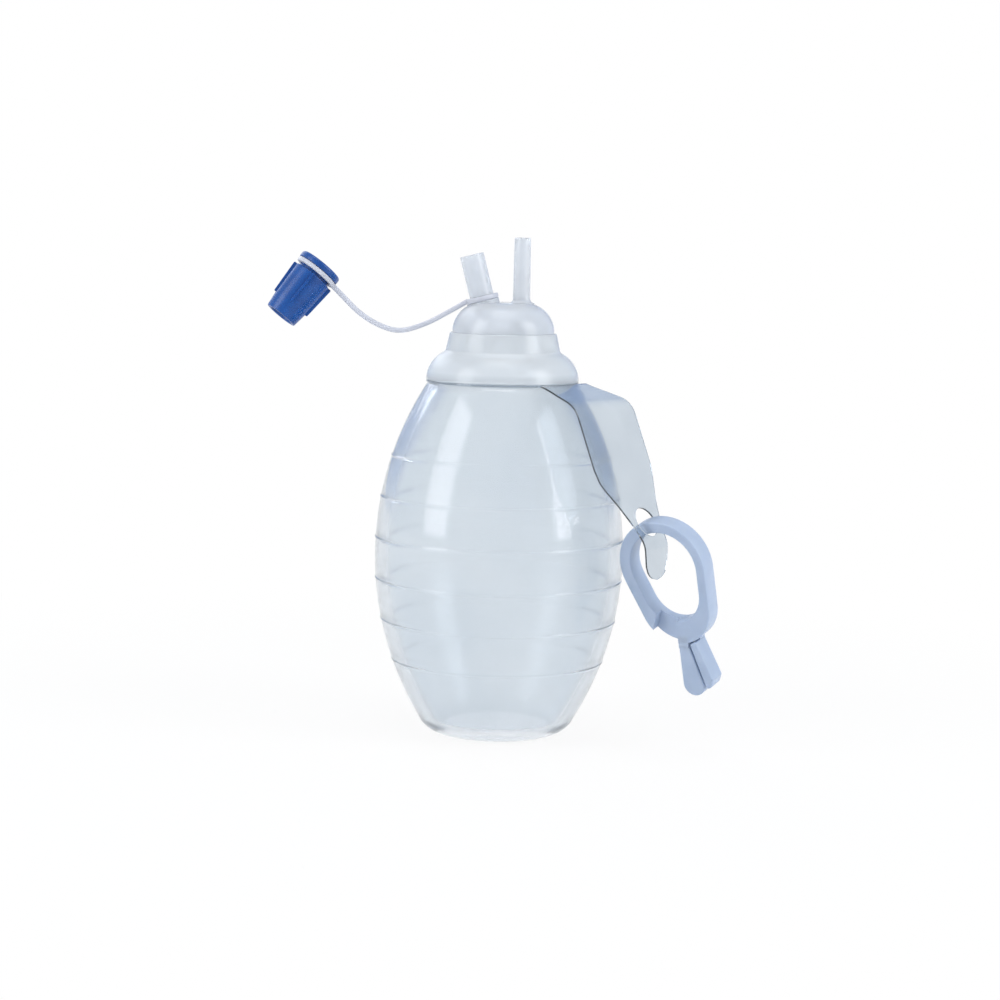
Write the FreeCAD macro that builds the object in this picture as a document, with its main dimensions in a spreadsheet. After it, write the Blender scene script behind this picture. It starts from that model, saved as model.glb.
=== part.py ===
import FreeCAD, Part
import math
import os
import re

import Sketcher

# Closed-suction wound drainage bulb, in millimetres.
# Origin: centre of the flat base. +Z is up, -Y is the front, +X is the hanging tab's side.

doc = FreeCAD.newDocument("WoundDrainageBulb")
sheet = doc.addObject("Spreadsheet::Sheet", "Sizes")

sizes = {
    # How far a cutter reaches past what it cuts.
    "cutMargin": 2.0,
    # Silicone bulb, widest at sideHeight: sideRadius is the arc from there down to the base corner,
    # and the arc above it ends at the groove under the shoulder.
    "bulbRadius": 33.5,
    "sideRadius": 86.0,
    "sideHeight": 48.7,
    "bulbWall": 3.2,
    "baseRadius": 14.2,
    "baseCorner": 8.0,
    "floorCorner": 5.0,
    "cornerTurn": 55.5,
    # Shoulder above the seam with the groove for the tab's collar, and the neck for the port cap.
    "seamHeight": 95.0,
    "collarRadius": 19.2,
    "collarWidth": 1.3,
    "grooveDepth": 0.773,
    "innerSeamDrop": 1.0,
    "shoulderRadius": 8.5,
    "neckFootRadius": 15.5,
    "neckRimRadius": 14.3,
    "neckBore": 12.6,
    "neckHeight": 13.3,
    # Raised graduation rings.
    "ringFirst": 20.0,
    "ringPitch": 11.05,
    "ringCount": 6,
    "ringProud": 0.22,
    "ringHalfWidth": 0.35,
    "ringRoot": 0.4,
    # Port cap: a dome on the neck's rim, with a skirt down the bore.
    "domeRadius": 13.7,
    "domeCorner": 8.0,
    "domeHeight": 8.1,
    "domeWall": 2.4,
    "skirtDepth": 6.0,
    # Inlet tube, upright on the dome.
    "inletOffset": 4.7,
    "inletTipRadius": 2.15,
    "inletFootRadius": 2.3,
    "inletLength": 17.3,
    "inletFlare": 0.9,
    "inletBore": 1.5,
    # Emptying spout, leaning to the left.
    "spoutOffset": 5.6,
    "spoutLean": 14.6,
    "spoutRadius": 3.225,
    "spoutBore": 2.35,
    "spoutLength": 12.9,
    "spoutBossRadius": 4.35,
    "spoutBossHeight": 0.3,
    "spoutRoot": 1.9,
    "rimChamfer": 0.25,
    # One-way valve in a socket under the inlet.
    "socketRadius": 3.6,
    "socketBore": 2.4,
    "socketDrop": 6.5,
    "socketSeat": 3.8,
    "valveBore": 1.3,
    "valveFlangeRadius": 3.3,
    "valveFlange": 0.8,
    "valveBill": 5.2,
    "valveLipHalfWidth": 2.7,
    "valveLipHalfThick": 0.6,
    "valveSlitHalfWidth": 2.2,
    "valveSlitHalfThick": 0.12,
    # Tether: a ring on the spout, a moulded strap and a ring on the cap.
    "tetherThick": 1.25,
    "tetherWidth": 3.0,
    "tetherRingWall": 1.1,
    "tetherFit": 0.08,
    "tetherSeatGap": 0.05,
    "strapBottomRadius": 10.0,
    "strapSpoutRadius": 36.0,
    "strapCapRadius": 24.0,
    "strapSpoutBlend": 16.0,
    "strapCapBlend": 18.0,
    "strapSpoutSlope": 30.0,
    "strapCapSlope": 45.0,
    "strapSpoutRun": 8.71,
    "strapCapRun": 7.72,
    "strapRise": 0.2,
    "capRingWall": 1.3,
    # Cap: hollow, pushed over the spout in use.
    "capLean": 38.1,
    "capTip": 11.0,
    "capLength": 17.5,
    "capHeadRadius": 6.15,
    "capHeadThick": 1.8,
    "capHeadRound": 0.7,
    "capNeckRadius": 4.6,
    "capNeckLength": 2.1,
    "capBodyRadius": 5.5,
    "capStepRadius": 5.0,
    "capMouthRadius": 4.5,
    "capStepDepth": 13.4,
    "capFit": 0.025,
    "capBoreDepth": 12.5,
    "capMouthChamfer": 0.6,
    "finCount": 4,
    "finThick": 0.65,
    "finRoot": 1.0,
    "finTopRadius": 6.25,
    "finFootRadius": 5.6,
    # Hanging tab: a bent clear sheet on a collar under the shoulder.
    "tabAzimuth": 36.5,
    "tabThick": 0.45,
    "tabRootOut": 1.0,
    "tabRootRun": 10.1,
    "tabRootSlope": 18.0,
    "tabBendRadius": 7.0,
    "tabFallSlope": 68.0,
    "tabFallRun": 16.8,
    "tabSwayRadius": 18.0,
    "tabHoleSlope": 58.0,
    "tabHoleAlong": 9.8,
    "tabHoleRun": 14.6,
    "tabEndRadius": 6.0,
    "tabEndSlope": 88.0,
    "tabEndRun": 7.6,
    "tabHoleRadius": 4.1,
    # Half-widths of the tab: at the collar, its full width, and beside, below and past the hole.
    "tabRootHalfWidth": 10.0,
    "tabHalfWidth": 13.0,
    "tabHoleHalfWidth": 8.0,
    "tabNeckHalfWidth": 5.6,
    "tabEndHalfWidth": 4.9,
    "tabWideRise": 9.3,
    "tabNeckDrop": 5.2,
    "tabEndRise": 3.8,
    "tabShoulderRound": 26.0,
    "tabEndRound": 5.0,
    "tabWaistRound": 17.0,
    "tabWaistReach": 1.5,
    # Ring clip: two half-thick layers lap at its foot, each with a finger tab.
    "clipYaw": 34.0,
    "clipPitch": 16.0,
    "clipThick": 5.2,
    "clipTopRadius": 12.6,
    "clipFootRadius": 10.3,
    "clipBand": 2.9,
    "clipInnerShift": 0.4,
    "clipInnerFootRadius": 8.3,
    "clipTaper": 24.0,
    "clipHangAngle": 112.0,
    "clipHoleGap": 0.45,
    "clipEdgeRound": 0.35,
    # Lap at the foot: where the left arm's front layer stops, then the right arm's plate, then the slot.
    "lapGap": 0.2,
    "lapStep": 4.6,
    "lapStepLean": 19.8,
    "lapPlate": 2.4,
    "lapSlotX": 7.5,
    "lapSlot": 0.4,
    "lapSlotLean": 2.5,
    # Finger tabs below the ring.
    "fingerNotch": 0.4,
    "fingerSlit": 0.4,
    "fingerLean": 17.0,
    "fingerDrop": 11.4,
    "fingerRoot": 2.2,
    "fingerRoundness": 0.525,
    "frontFingerTop": 2.9,
    "rearFingerTop": 1.85,
    "rearFingerLean": 20.5,
    "rearFingerLift": 1.9,
}

# Worked out from the sizes above. The strap's joints run from the spout's ring to the cap's ring along
# its middle line, and the cap sits in its ring. The tab's joints run out from the collar in the same way,
# and the clip's are in its own plane, from the centre of its top circle.
bottom_drop = "(strapSpoutRadius - strapBottomRadius) * cos(strapSpoutBlend) - strapBottomRadius"
foot_rise = "(clipFootRadius - cos(clipTaper) * (clipFootX - clipLeftX)) / sin(clipTaper)"
inner_rise = "(clipInnerFootRadius - cos(clipTaper) * (clipInnerFootX - clipInnerLeftX)) / sin(clipTaper)"
worked_out = {
    "neckRimHeight": "seamHeight + neckHeight",
    "seamRadius": "collarRadius + collarWidth",
    "seamInset": "bulbRadius - collarRadius - grooveDepth",
    "upperRadius": "(seamInset^2 + (seamHeight - sideHeight)^2) / (2 * seamInset)",
    "domeTop": "neckRimHeight + domeHeight",
    "domeCentre": "domeRadius - domeCorner",
    "domeInner": "domeCorner - domeWall",
    "shoulderCentre": "seamRadius - shoulderRadius",
    "collarTop": "seamHeight + tabThick",
    "valveSeatDepth": "domeWall + socketDrop - socketSeat",
    "spoutRingInner": "spoutRadius + tetherFit",
    "spoutRingMiddle": "spoutBossHeight + tetherSeatGap + tetherThick / 2",
    "capRingInner": "capNeckRadius + tetherFit",
    "capRingMiddle": "capHeadThick + tetherSeatGap + tetherThick / 2",
    "spoutRingX": "-spoutOffset - spoutRingMiddle * sin(spoutLean)",
    "spoutRingZ": "domeTop + spoutRingMiddle * cos(spoutLean)",
    "strapStartOut": "spoutRingInner + tetherRingWall / 2",
    "strapStartX": "spoutRingX - strapStartOut * cos(spoutLean) - strapRise * sin(spoutLean)",
    "strapStartZ": "spoutRingZ - strapStartOut * sin(spoutLean) + strapRise * cos(spoutLean)",
    "strapFallX": "strapStartX - strapSpoutRun * cos(strapSpoutSlope)",
    "strapFallZ": "strapStartZ - strapSpoutRun * sin(strapSpoutSlope)",
    "spoutArcX": "strapFallX - strapSpoutRadius * sin(strapSpoutSlope)",
    "spoutArcZ": "strapFallZ + strapSpoutRadius * cos(strapSpoutSlope)",
    "strapLowX": "spoutArcX + (strapSpoutRadius - strapBottomRadius) * sin(strapSpoutBlend)",
    "strapLowZ": "spoutArcZ - " + bottom_drop,
    "capArcX": "strapLowX + (strapCapRadius - strapBottomRadius) * sin(strapCapBlend)",
    "capArcZ": "strapLowZ + strapBottomRadius + (strapCapRadius - strapBottomRadius) * cos(strapCapBlend)",
    "strapEndX": "capArcX - strapCapRadius * sin(strapCapSlope) - strapCapRun * cos(strapCapSlope)",
    "strapEndZ": "capArcZ - strapCapRadius * cos(strapCapSlope) + strapCapRun * sin(strapCapSlope)",
    "capRingX": "strapEndX - (capRingInner + capRingWall / 2) * cos(capLean)",
    "capRingZ": "strapEndZ + (capRingInner + capRingWall / 2) * sin(capLean)",
    "capX": "capRingX + capRingMiddle * sin(capLean) * cos(capTip)",
    "capY": "capRingMiddle * sin(capTip)",
    "capZ": "capRingZ + capRingMiddle * cos(capLean) * cos(capTip)",
    "capBore": "spoutRadius + capFit",
    "tabRootX": "collarRadius + tabRootOut",
    "tabRootZ": "seamHeight + tabThick / 2",
    "tabBendX": "tabRootX + tabRootRun * cos(tabRootSlope)",
    "tabBendZ": "tabRootZ - tabRootRun * sin(tabRootSlope)",
    "tabBendCentreX": "tabBendX - tabBendRadius * sin(tabRootSlope)",
    "tabBendCentreZ": "tabBendZ - tabBendRadius * cos(tabRootSlope)",
    "tabFallX": "tabBendCentreX + tabBendRadius * sin(tabFallSlope)",
    "tabFallZ": "tabBendCentreZ + tabBendRadius * cos(tabFallSlope)",
    "tabSwayX": "tabFallX + tabFallRun * cos(tabFallSlope)",
    "tabSwayZ": "tabFallZ - tabFallRun * sin(tabFallSlope)",
    "tabSwayCentreX": "tabSwayX + tabSwayRadius * sin(tabFallSlope)",
    "tabSwayCentreZ": "tabSwayZ + tabSwayRadius * cos(tabFallSlope)",
    "tabFlatX": "tabSwayCentreX - tabSwayRadius * sin(tabHoleSlope)",
    "tabFlatZ": "tabSwayCentreZ - tabSwayRadius * cos(tabHoleSlope)",
    "tabTurnX": "tabFlatX + tabHoleRun * cos(tabHoleSlope)",
    "tabTurnZ": "tabFlatZ - tabHoleRun * sin(tabHoleSlope)",
    "tabTurnCentreX": "tabTurnX - tabEndRadius * sin(tabHoleSlope)",
    "tabTurnCentreZ": "tabTurnZ - tabEndRadius * cos(tabHoleSlope)",
    "tabHoleX": "tabFlatX + tabHoleAlong * cos(tabHoleSlope)",
    "tabHoleZ": "tabFlatZ - tabHoleAlong * sin(tabHoleSlope)",
    "tabTipZ": "tabTurnCentreZ + tabEndRadius * cos(tabEndSlope) - tabEndRun * sin(tabEndSlope)",
    "clipMiddleRadius": "clipTopRadius - clipBand / 2",
    "clipSeat": "sqrt((tabHoleRadius - clipHoleGap)^2 - (clipThick / 2)^2) - clipBand / 2",
    "clipHangX": "(clipMiddleRadius + clipSeat) * cos(clipHangAngle)",
    "clipHangZ": "(clipMiddleRadius + clipSeat) * sin(clipHangAngle)",
    "clipLeftX": "-clipTopRadius * cos(clipTaper)",
    "clipLeftZ": "-clipTopRadius * sin(clipTaper)",
    "clipFootX": "clipTopRadius - clipFootRadius",
    "clipFootZ": "clipLeftZ + " + foot_rise,
    "clipInnerRadius": "clipTopRadius - clipBand",
    "clipInnerLeftX": "clipInnerShift - clipInnerRadius * cos(clipTaper)",
    "clipInnerLeftZ": "-clipInnerRadius * sin(clipTaper)",
    "clipInnerFootX": "clipInnerShift + clipInnerRadius - clipInnerFootRadius",
    "clipInnerFootZ": "clipInnerLeftZ + " + inner_rise,
    "clipBottomZ": "clipFootZ - clipFootRadius",
    "fingerFootZ": "clipBottomZ - fingerDrop",
}

for row, (name, value) in enumerate([*sizes.items(), *worked_out.items()], start=1):
    sheet.set("A%d" % row, name)
    sheet.set("B%d" % row, repr(value) if name in sizes else "=" + value)
    sheet.setAlias("B%d" % row, name)
doc.recompute()

alias_word = re.compile(r"\b(%s)\b" % "|".join([*sizes, *worked_out]))


def bound(text):
    """Expression text with each size's name pointed at the sheet."""
    return alias_word.sub(r"Sizes.\1", text)


def number(text):
    """Value of an expression that is written in the sizes' names."""
    return float(sheet.evalExpression(text))


def new_body(label, place=None):
    """A body with an optional placement, given as six expressions: x, y, z, yaw, pitch, roll."""
    body = doc.addObject("PartDesign::Body", label)
    body.Label = label
    if place:
        put_frame(body, "Placement", place)
    return body


def put_frame(thing, prop, place):
    """Sets a placement property from x, y, z, yaw, pitch, roll and binds it to the sheet."""
    x, y, z, yaw, pitch, roll = [number(text) for text in place]
    setattr(thing, prop, FreeCAD.Placement(FreeCAD.Vector(x, y, z), FreeCAD.Rotation(yaw, pitch, roll)))
    for axis, text in zip("xyz", place[:3]):
        thing.setExpression("%s.Base.%s" % (prop, axis), bound(text))


def new_sketch(body, role, name, offset=None):
    """A sketch on one of the body's origin planes, moved by six expressions if given."""
    plane = [item for item in body.Origin.OriginFeatures if item.Role == role][0]
    sketch = body.newObject("Sketcher::SketchObject", name)
    sketch.AttachmentSupport = (plane, [""])
    sketch.MapMode = "FlatFace"
    if offset:
        put_frame(sketch, "AttachmentOffset", offset)
    return sketch


def pin(sketch, edge, end, point):
    """Fixes one end of an edge at a point given as two expressions."""
    on_axis = {0: -2, 1: -1}
    if point[0] == "0" and point[1] == "0":
        sketch.addConstraint(Sketcher.Constraint("Coincident", edge, end, -1, 1))
        return
    for index, kind in enumerate(("DistanceX", "DistanceY")):
        text = point[index]
        if text == "0":
            sketch.addConstraint(Sketcher.Constraint("PointOnObject", edge, end, on_axis[index]))
            continue
        made = sketch.addConstraint(Sketcher.Constraint(kind, edge, end, number(text)))
        sketch.setExpression("Constraints[%d]" % made, bound(text))


def add_loop(sketch, points, arcs=None):
    """Closed outline through the points. arcs gives, by edge index, a radius and which side its
    centre lies on, seen along the edge: 1 for the left and -1 for the right."""
    arcs = arcs or {}
    count = len(points)
    spots = [FreeCAD.Vector(number(p[0]), number(p[1]), 0) for p in points]
    ends = []
    for index in range(count):
        a = spots[index]
        b = spots[(index + 1) % count]
        if index in arcs:
            radius_text, side = arcs[index]
            radius = number(radius_text)
            half = (b - a).multiply(0.5)
            lift = math.sqrt(max(radius**2 - half.Length**2, 0.0))
            left = FreeCAD.Vector(-half.y, half.x, 0).normalize()
            centre = a + half + left * (side * lift)
            first, last = (a, b) if side > 0 else (b, a)
            angles = [math.atan2(p.y - centre.y, p.x - centre.x) for p in (first, last)]
            circle = Part.Circle(centre, FreeCAD.Vector(0, 0, 1), radius)
            edge = sketch.addGeometry(Part.ArcOfCircle(circle, angles[0], angles[1]), False)
            made = sketch.addConstraint(Sketcher.Constraint("Radius", edge, radius))
            sketch.setExpression("Constraints[%d]" % made, bound(radius_text))
            ends.append((edge, 1, 2) if side > 0 else (edge, 2, 1))
        else:
            edge = sketch.addGeometry(Part.LineSegment(a, b), False)
            ends.append((edge, 1, 2))
    for index in range(count):
        edge, start, _ = ends[index]
        before, _, finish = ends[index - 1]
        sketch.addConstraint(Sketcher.Constraint("Coincident", before, finish, edge, start))
        pin(sketch, edge, start, points[index])


def add_circle(sketch, centre, radius_text):
    """A circle with its centre given as two expressions."""
    spot = FreeCAD.Vector(number(centre[0]), number(centre[1]), 0)
    edge = sketch.addGeometry(Part.Circle(spot, FreeCAD.Vector(0, 0, 1), number(radius_text)), False)
    pin(sketch, edge, 3, centre)
    made = sketch.addConstraint(Sketcher.Constraint("Radius", edge, number(radius_text)))
    sketch.setExpression("Constraints[%d]" % made, bound(radius_text))


def add_ellipse(sketch, half_width_text, half_thick_text):
    """An ellipse about the sketch's origin, long along its x axis."""
    wide = number(half_width_text)
    thick = number(half_thick_text)
    zero = FreeCAD.Vector(0, 0, 0)
    shape = Part.Ellipse(FreeCAD.Vector(wide, 0, 0), FreeCAD.Vector(0, thick, 0), zero)
    sketch.addGeometry(shape, False)


def turn(body, sketch, name, cut=False):
    """Revolves a sketch once round its own vertical axis."""
    feature = body.newObject("PartDesign::Groove" if cut else "PartDesign::Revolution", name)
    feature.Profile = sketch
    feature.ReferenceAxis = (sketch, ["V_Axis"])
    feature.Angle = 360.0
    doc.recompute()
    return feature


def pad(body, sketch, name, length_text, middle=False, back=False):
    """Pads a sketch by a length given as an expression."""
    feature = body.newObject("PartDesign::Pad", name)
    feature.Profile = sketch
    feature.Length = number(length_text)
    feature.setExpression("Length", bound(length_text))
    feature.Midplane = middle
    feature.Reversed = back
    doc.recompute()
    return feature


def pocket(body, sketch, name, length_text, middle=False, back=False):
    """Cuts a sketch by a depth given as an expression, and checks that it took something away."""
    before = body.Shape.Volume
    feature = body.newObject("PartDesign::Pocket", name)
    feature.Profile = sketch
    feature.Length = number(length_text)
    feature.setExpression("Length", bound(length_text))
    feature.Midplane = middle
    feature.Reversed = back
    doc.recompute()
    if not body.Shape.Volume < before - 1e-6:
        raise RuntimeError("the cut %s takes nothing away" % name)
    return feature


def side_at(height_text, inset_text="0"):
    """Radius of the bulb's side at a height, or of the side an inset further in."""
    arc = "upperRadius" if number(height_text) > number("sideHeight") else "sideRadius"
    reach = "sqrt((%s - %s)^2 - (%s - sideHeight)^2)" % (arc, inset_text, height_text)
    return "(bulbRadius - %s + %s)" % (arc, reach)


def level_faces(shape):
    """Names of the flat faces that look along the body's z axis."""
    names = []
    for index, face in enumerate(shape.Faces, start=1):
        if isinstance(face.Surface, Part.Plane) and abs(face.Surface.Axis.z) > 0.99:
            names.append("Face%d" % index)
    return names


# Silicone bulb: one moulding, open only at its neck.
def make_bulb():
    body = new_body("bulb_body")
    sketch = new_sketch(body, "XZ_Plane", "BulbProfile")
    corner_height = "(baseCorner * (1 - cos(cornerTurn)))"
    inner_corner = "(bulbWall + floorCorner * (1 - cos(cornerTurn)))"
    neck_foot = "(seamHeight + tabThick + sqrt(shoulderRadius^2 - (neckFootRadius - shoulderCentre)^2))"
    inner_shoulder = "(shoulderRadius - bulbWall)"
    inner_neck = "(collarTop + sqrt(%s^2 - (neckBore - shoulderCentre)^2))" % inner_shoulder
    inner_seam = "(seamHeight - innerSeamDrop)"
    points = [
        ("0", "0"),
        ("baseRadius", "0"),
        (side_at(corner_height), corner_height),
        ("bulbRadius", "sideHeight"),
        ("collarRadius + grooveDepth", "seamHeight"),
        ("collarRadius", "seamHeight"),
        ("collarRadius", "collarTop"),
        ("seamRadius", "collarTop"),
        ("neckFootRadius", neck_foot),
        ("neckRimRadius", "neckRimHeight"),
        ("neckBore", "neckRimHeight"),
        ("neckBore", inner_neck),
        ("shoulderCentre + %s" % inner_shoulder, "collarTop"),
        (side_at(inner_seam, "bulbWall"), inner_seam),
        ("bulbRadius - bulbWall", "sideHeight"),
        (side_at(inner_corner, "bulbWall"), inner_corner),
        (side_at(inner_corner, "bulbWall") + " - floorCorner * sin(cornerTurn)", "bulbWall"),
        ("0", "bulbWall"),
    ]
    arcs = {
        1: ("baseCorner", 1),
        2: ("sideRadius", 1),
        3: ("upperRadius", 1),
        7: ("shoulderRadius", 1),
        11: (inner_shoulder, -1),
        13: ("(upperRadius - bulbWall)", -1),
        14: ("(sideRadius - bulbWall)", -1),
        15: ("floorCorner", -1),
    }
    add_loop(sketch, points, arcs)
    turn(body, sketch, "BulbShell")
    rings = new_sketch(body, "XZ_Plane", "GraduationProfile")
    for index in range(int(number("ringCount"))):
        height = "(ringFirst + %d * ringPitch)" % index
        radius = side_at(height)
        root = radius + " - ringRoot"
        add_loop(rings, [
            (root, height + " - ringHalfWidth"),
            (radius + " + ringProud", height),
            (root, height + " + ringHalfWidth"),
        ])
    turn(body, rings, "GraduationRings")
    return body


# Port cap: dome and skirt, with the inlet tube, the spout and the valve's socket.
def make_port_cap():
    body = new_body("port_cap")
    sketch = new_sketch(body, "XZ_Plane", "DomeProfile")
    inner_wall = "domeCentre + domeInner"
    points = [
        ("0", "domeTop"),
        ("0", "domeTop - domeWall"),
        ("domeCentre", "domeTop - domeWall"),
        (inner_wall, "domeTop - domeCorner"),
        (inner_wall, "neckRimHeight - skirtDepth"),
        ("neckBore", "neckRimHeight - skirtDepth"),
        ("neckBore", "neckRimHeight"),
        ("domeRadius", "neckRimHeight"),
        ("domeRadius", "domeTop - domeCorner"),
        ("domeCentre", "domeTop"),
    ]
    add_loop(sketch, points, {2: ("domeInner", -1), 8: ("domeCorner", 1)})
    turn(body, sketch, "Dome")
    inlet_place = ["inletOffset", "domeTop", "0", "0", "0", "0"]
    spout_place = ["-spoutOffset", "domeTop", "0", "spoutLean", "0", "0"]
    inlet = new_sketch(body, "XZ_Plane", "InletProfile", inlet_place)
    add_loop(inlet, [
        ("0", "-domeWall / 2"),
        ("inletFootRadius + inletFlare", "-domeWall / 2"),
        ("inletFootRadius + inletFlare", "0"),
        ("inletFootRadius", "inletFlare"),
        ("inletTipRadius", "inletLength - rimChamfer"),
        ("inletTipRadius - rimChamfer", "inletLength"),
        ("0", "inletLength"),
    ], {2: ("inletFlare", -1)})
    turn(body, inlet, "InletTube")
    spout = new_sketch(body, "XZ_Plane", "SpoutProfile", spout_place)
    add_loop(spout, [
        ("0", "-spoutRoot"),
        ("spoutBossRadius", "-spoutRoot"),
        ("spoutBossRadius", "spoutBossHeight"),
        ("spoutRadius", "spoutBossHeight"),
        ("spoutRadius", "spoutLength - rimChamfer"),
        ("spoutRadius - rimChamfer", "spoutLength"),
        ("0", "spoutLength"),
    ])
    turn(body, spout, "Spout")
    socket = new_sketch(body, "XZ_Plane", "SocketProfile", inlet_place)
    add_loop(socket, [
        ("0", "-domeWall / 2"),
        ("0", "-domeWall - socketDrop"),
        ("socketRadius", "-domeWall - socketDrop"),
        ("socketRadius", "-domeWall / 2"),
    ])
    turn(body, socket, "ValveSocket")
    inlet_bore = new_sketch(body, "XZ_Plane", "InletBore", inlet_place)
    add_loop(inlet_bore, [
        ("0", "inletLength + cutMargin"),
        ("0", "-domeWall - socketDrop - cutMargin"),
        ("socketBore", "-domeWall - socketDrop - cutMargin"),
        ("socketBore", "-socketSeat"),
        ("inletBore", "-socketSeat"),
        ("inletBore", "inletLength + cutMargin"),
    ])
    turn(body, inlet_bore, "InletPassage", cut=True)
    spout_bore = new_sketch(body, "XZ_Plane", "SpoutBore", spout_place)
    add_loop(spout_bore, [
        ("0", "spoutLength + cutMargin"),
        ("0", "-spoutRoot - domeWall"),
        ("spoutBore", "-spoutRoot - domeWall"),
        ("spoutBore", "spoutLength + cutMargin"),
    ])
    turn(body, spout_bore, "SpoutPassage", cut=True)
    return body


# One-way valve: a soft duckbill, pressed into the socket under the inlet.
def make_valve():
    body = new_body("inlet_check_valve", ["inletOffset", "0", "domeTop - socketSeat", "0", "0", "0"])
    sketch = new_sketch(body, "XZ_Plane", "ValveProfile")
    flange_foot = "-valveSeatDepth - valveFlange"
    add_loop(sketch, [
        ("valveBore", "0"),
        ("valveBore", flange_foot),
        ("valveFlangeRadius", flange_foot),
        ("valveFlangeRadius", "-valveSeatDepth"),
        ("socketBore", "-valveSeatDepth"),
        ("socketBore", "0"),
    ])
    turn(body, sketch, "ValveSleeve")
    top = ["0", "0", flange_foot, "0", "0", "0"]
    tip = ["0", "0", flange_foot + " - valveBill", "0", "0", "0"]
    outer_top = new_sketch(body, "XY_Plane", "BillTop", top)
    add_circle(outer_top, ("0", "0"), "socketBore")
    outer_tip = new_sketch(body, "XY_Plane", "BillTip", tip)
    add_ellipse(outer_tip, "valveLipHalfWidth", "valveLipHalfThick")
    bill = body.newObject("PartDesign::AdditiveLoft", "Bill")
    bill.Profile = outer_top
    bill.Sections = [outer_tip]
    doc.recompute()
    inner_top = new_sketch(body, "XY_Plane", "PassageTop", top)
    add_circle(inner_top, ("0", "0"), "valveBore")
    inner_tip = new_sketch(body, "XY_Plane", "PassageTip", tip)
    add_ellipse(inner_tip, "valveSlitHalfWidth", "valveSlitHalfThick")
    passage = body.newObject("PartDesign::SubtractiveLoft", "Passage")
    passage.Profile = inner_top
    passage.Sections = [inner_tip]
    doc.recompute()
    return body


# Tether: two rings and the strap between them, moulded as one.
def make_tether():
    body = new_body("cap_tether")
    strap = new_sketch(body, "XZ_Plane", "StrapOutline")
    low_z = "(strapLowZ + strapBottomRadius)"

    def side(sign):
        """One long side of the strap, and the radii of its three arcs."""
        arms = ["(%s %s tetherThick / 2)" % (name, sign)
                for name in ("strapSpoutRadius", "strapBottomRadius", "strapCapRadius")]
        spout_end = (
            "spoutArcX + %s * sin(strapSpoutSlope)" % arms[0],
            "spoutArcZ - %s * cos(strapSpoutSlope)" % arms[0],
        )
        cap_end = (
            "capArcX - %s * sin(strapCapSlope)" % arms[2],
            "capArcZ - %s * cos(strapCapSlope)" % arms[2],
        )
        run = [
            (spout_end[0] + " + strapSpoutRun * cos(strapSpoutSlope)",
             spout_end[1] + " + strapSpoutRun * sin(strapSpoutSlope)"),
            spout_end,
            ("strapLowX + %s * sin(strapSpoutBlend)" % arms[1],
             "%s - %s * cos(strapSpoutBlend)" % (low_z, arms[1])),
            ("strapLowX - %s * sin(strapCapBlend)" % arms[1],
             "%s - %s * cos(strapCapBlend)" % (low_z, arms[1])),
            cap_end,
            (cap_end[0] + " - strapCapRun * cos(strapCapSlope)",
             cap_end[1] + " + strapCapRun * sin(strapCapSlope)"),
        ]
        return run, arms

    under, under_arms = side("+")
    over, over_arms = side("-")
    points = under + over[::-1]
    arcs = {1: (under_arms[0], -1), 2: (under_arms[1], -1), 3: (under_arms[2], -1)}
    arcs.update({7: (over_arms[2], 1), 8: (over_arms[1], 1), 9: (over_arms[0], 1)})
    add_loop(strap, points, arcs)
    pad(body, strap, "Strap", "tetherWidth", middle=True)
    spout_place = ["spoutRingX", "0", "spoutRingZ", "0", "-spoutLean", "0"]
    spout_ring = new_sketch(body, "XY_Plane", "SpoutRing", spout_place)
    add_circle(spout_ring, ("0", "0"), "spoutRingInner + tetherRingWall")
    add_circle(spout_ring, ("0", "0"), "spoutRingInner")
    pad(body, spout_ring, "SpoutRingPad", "tetherThick", middle=True)
    cap_place = ["capRingX", "0", "capRingZ", "0", "capLean", "-capTip"]
    cap_ring = new_sketch(body, "XY_Plane", "CapRing", cap_place)
    add_circle(cap_ring, ("0", "0"), "capRingInner + capRingWall")
    add_circle(cap_ring, ("0", "0"), "capRingInner")
    pad(body, cap_ring, "CapRingPad", "tetherThick", middle=True)
    # Room for the cap's head over the strap's end.
    seat = "(capHeadThick + tetherSeatGap)"
    head_room = new_sketch(body, "XY_Plane", "HeadRoom", [
        "capX - %s * sin(capLean) * cos(capTip)" % seat, "capY - %s * sin(capTip)" % seat,
        "capZ - %s * cos(capLean) * cos(capTip)" % seat, "0", "capLean", "-capTip",
    ])
    add_circle(head_room, ("0", "0"), "capHeadRadius + tetherFit")
    pocket(body, head_room, "HeadRoomCut", "capHeadThick", back=True)
    return body


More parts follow.
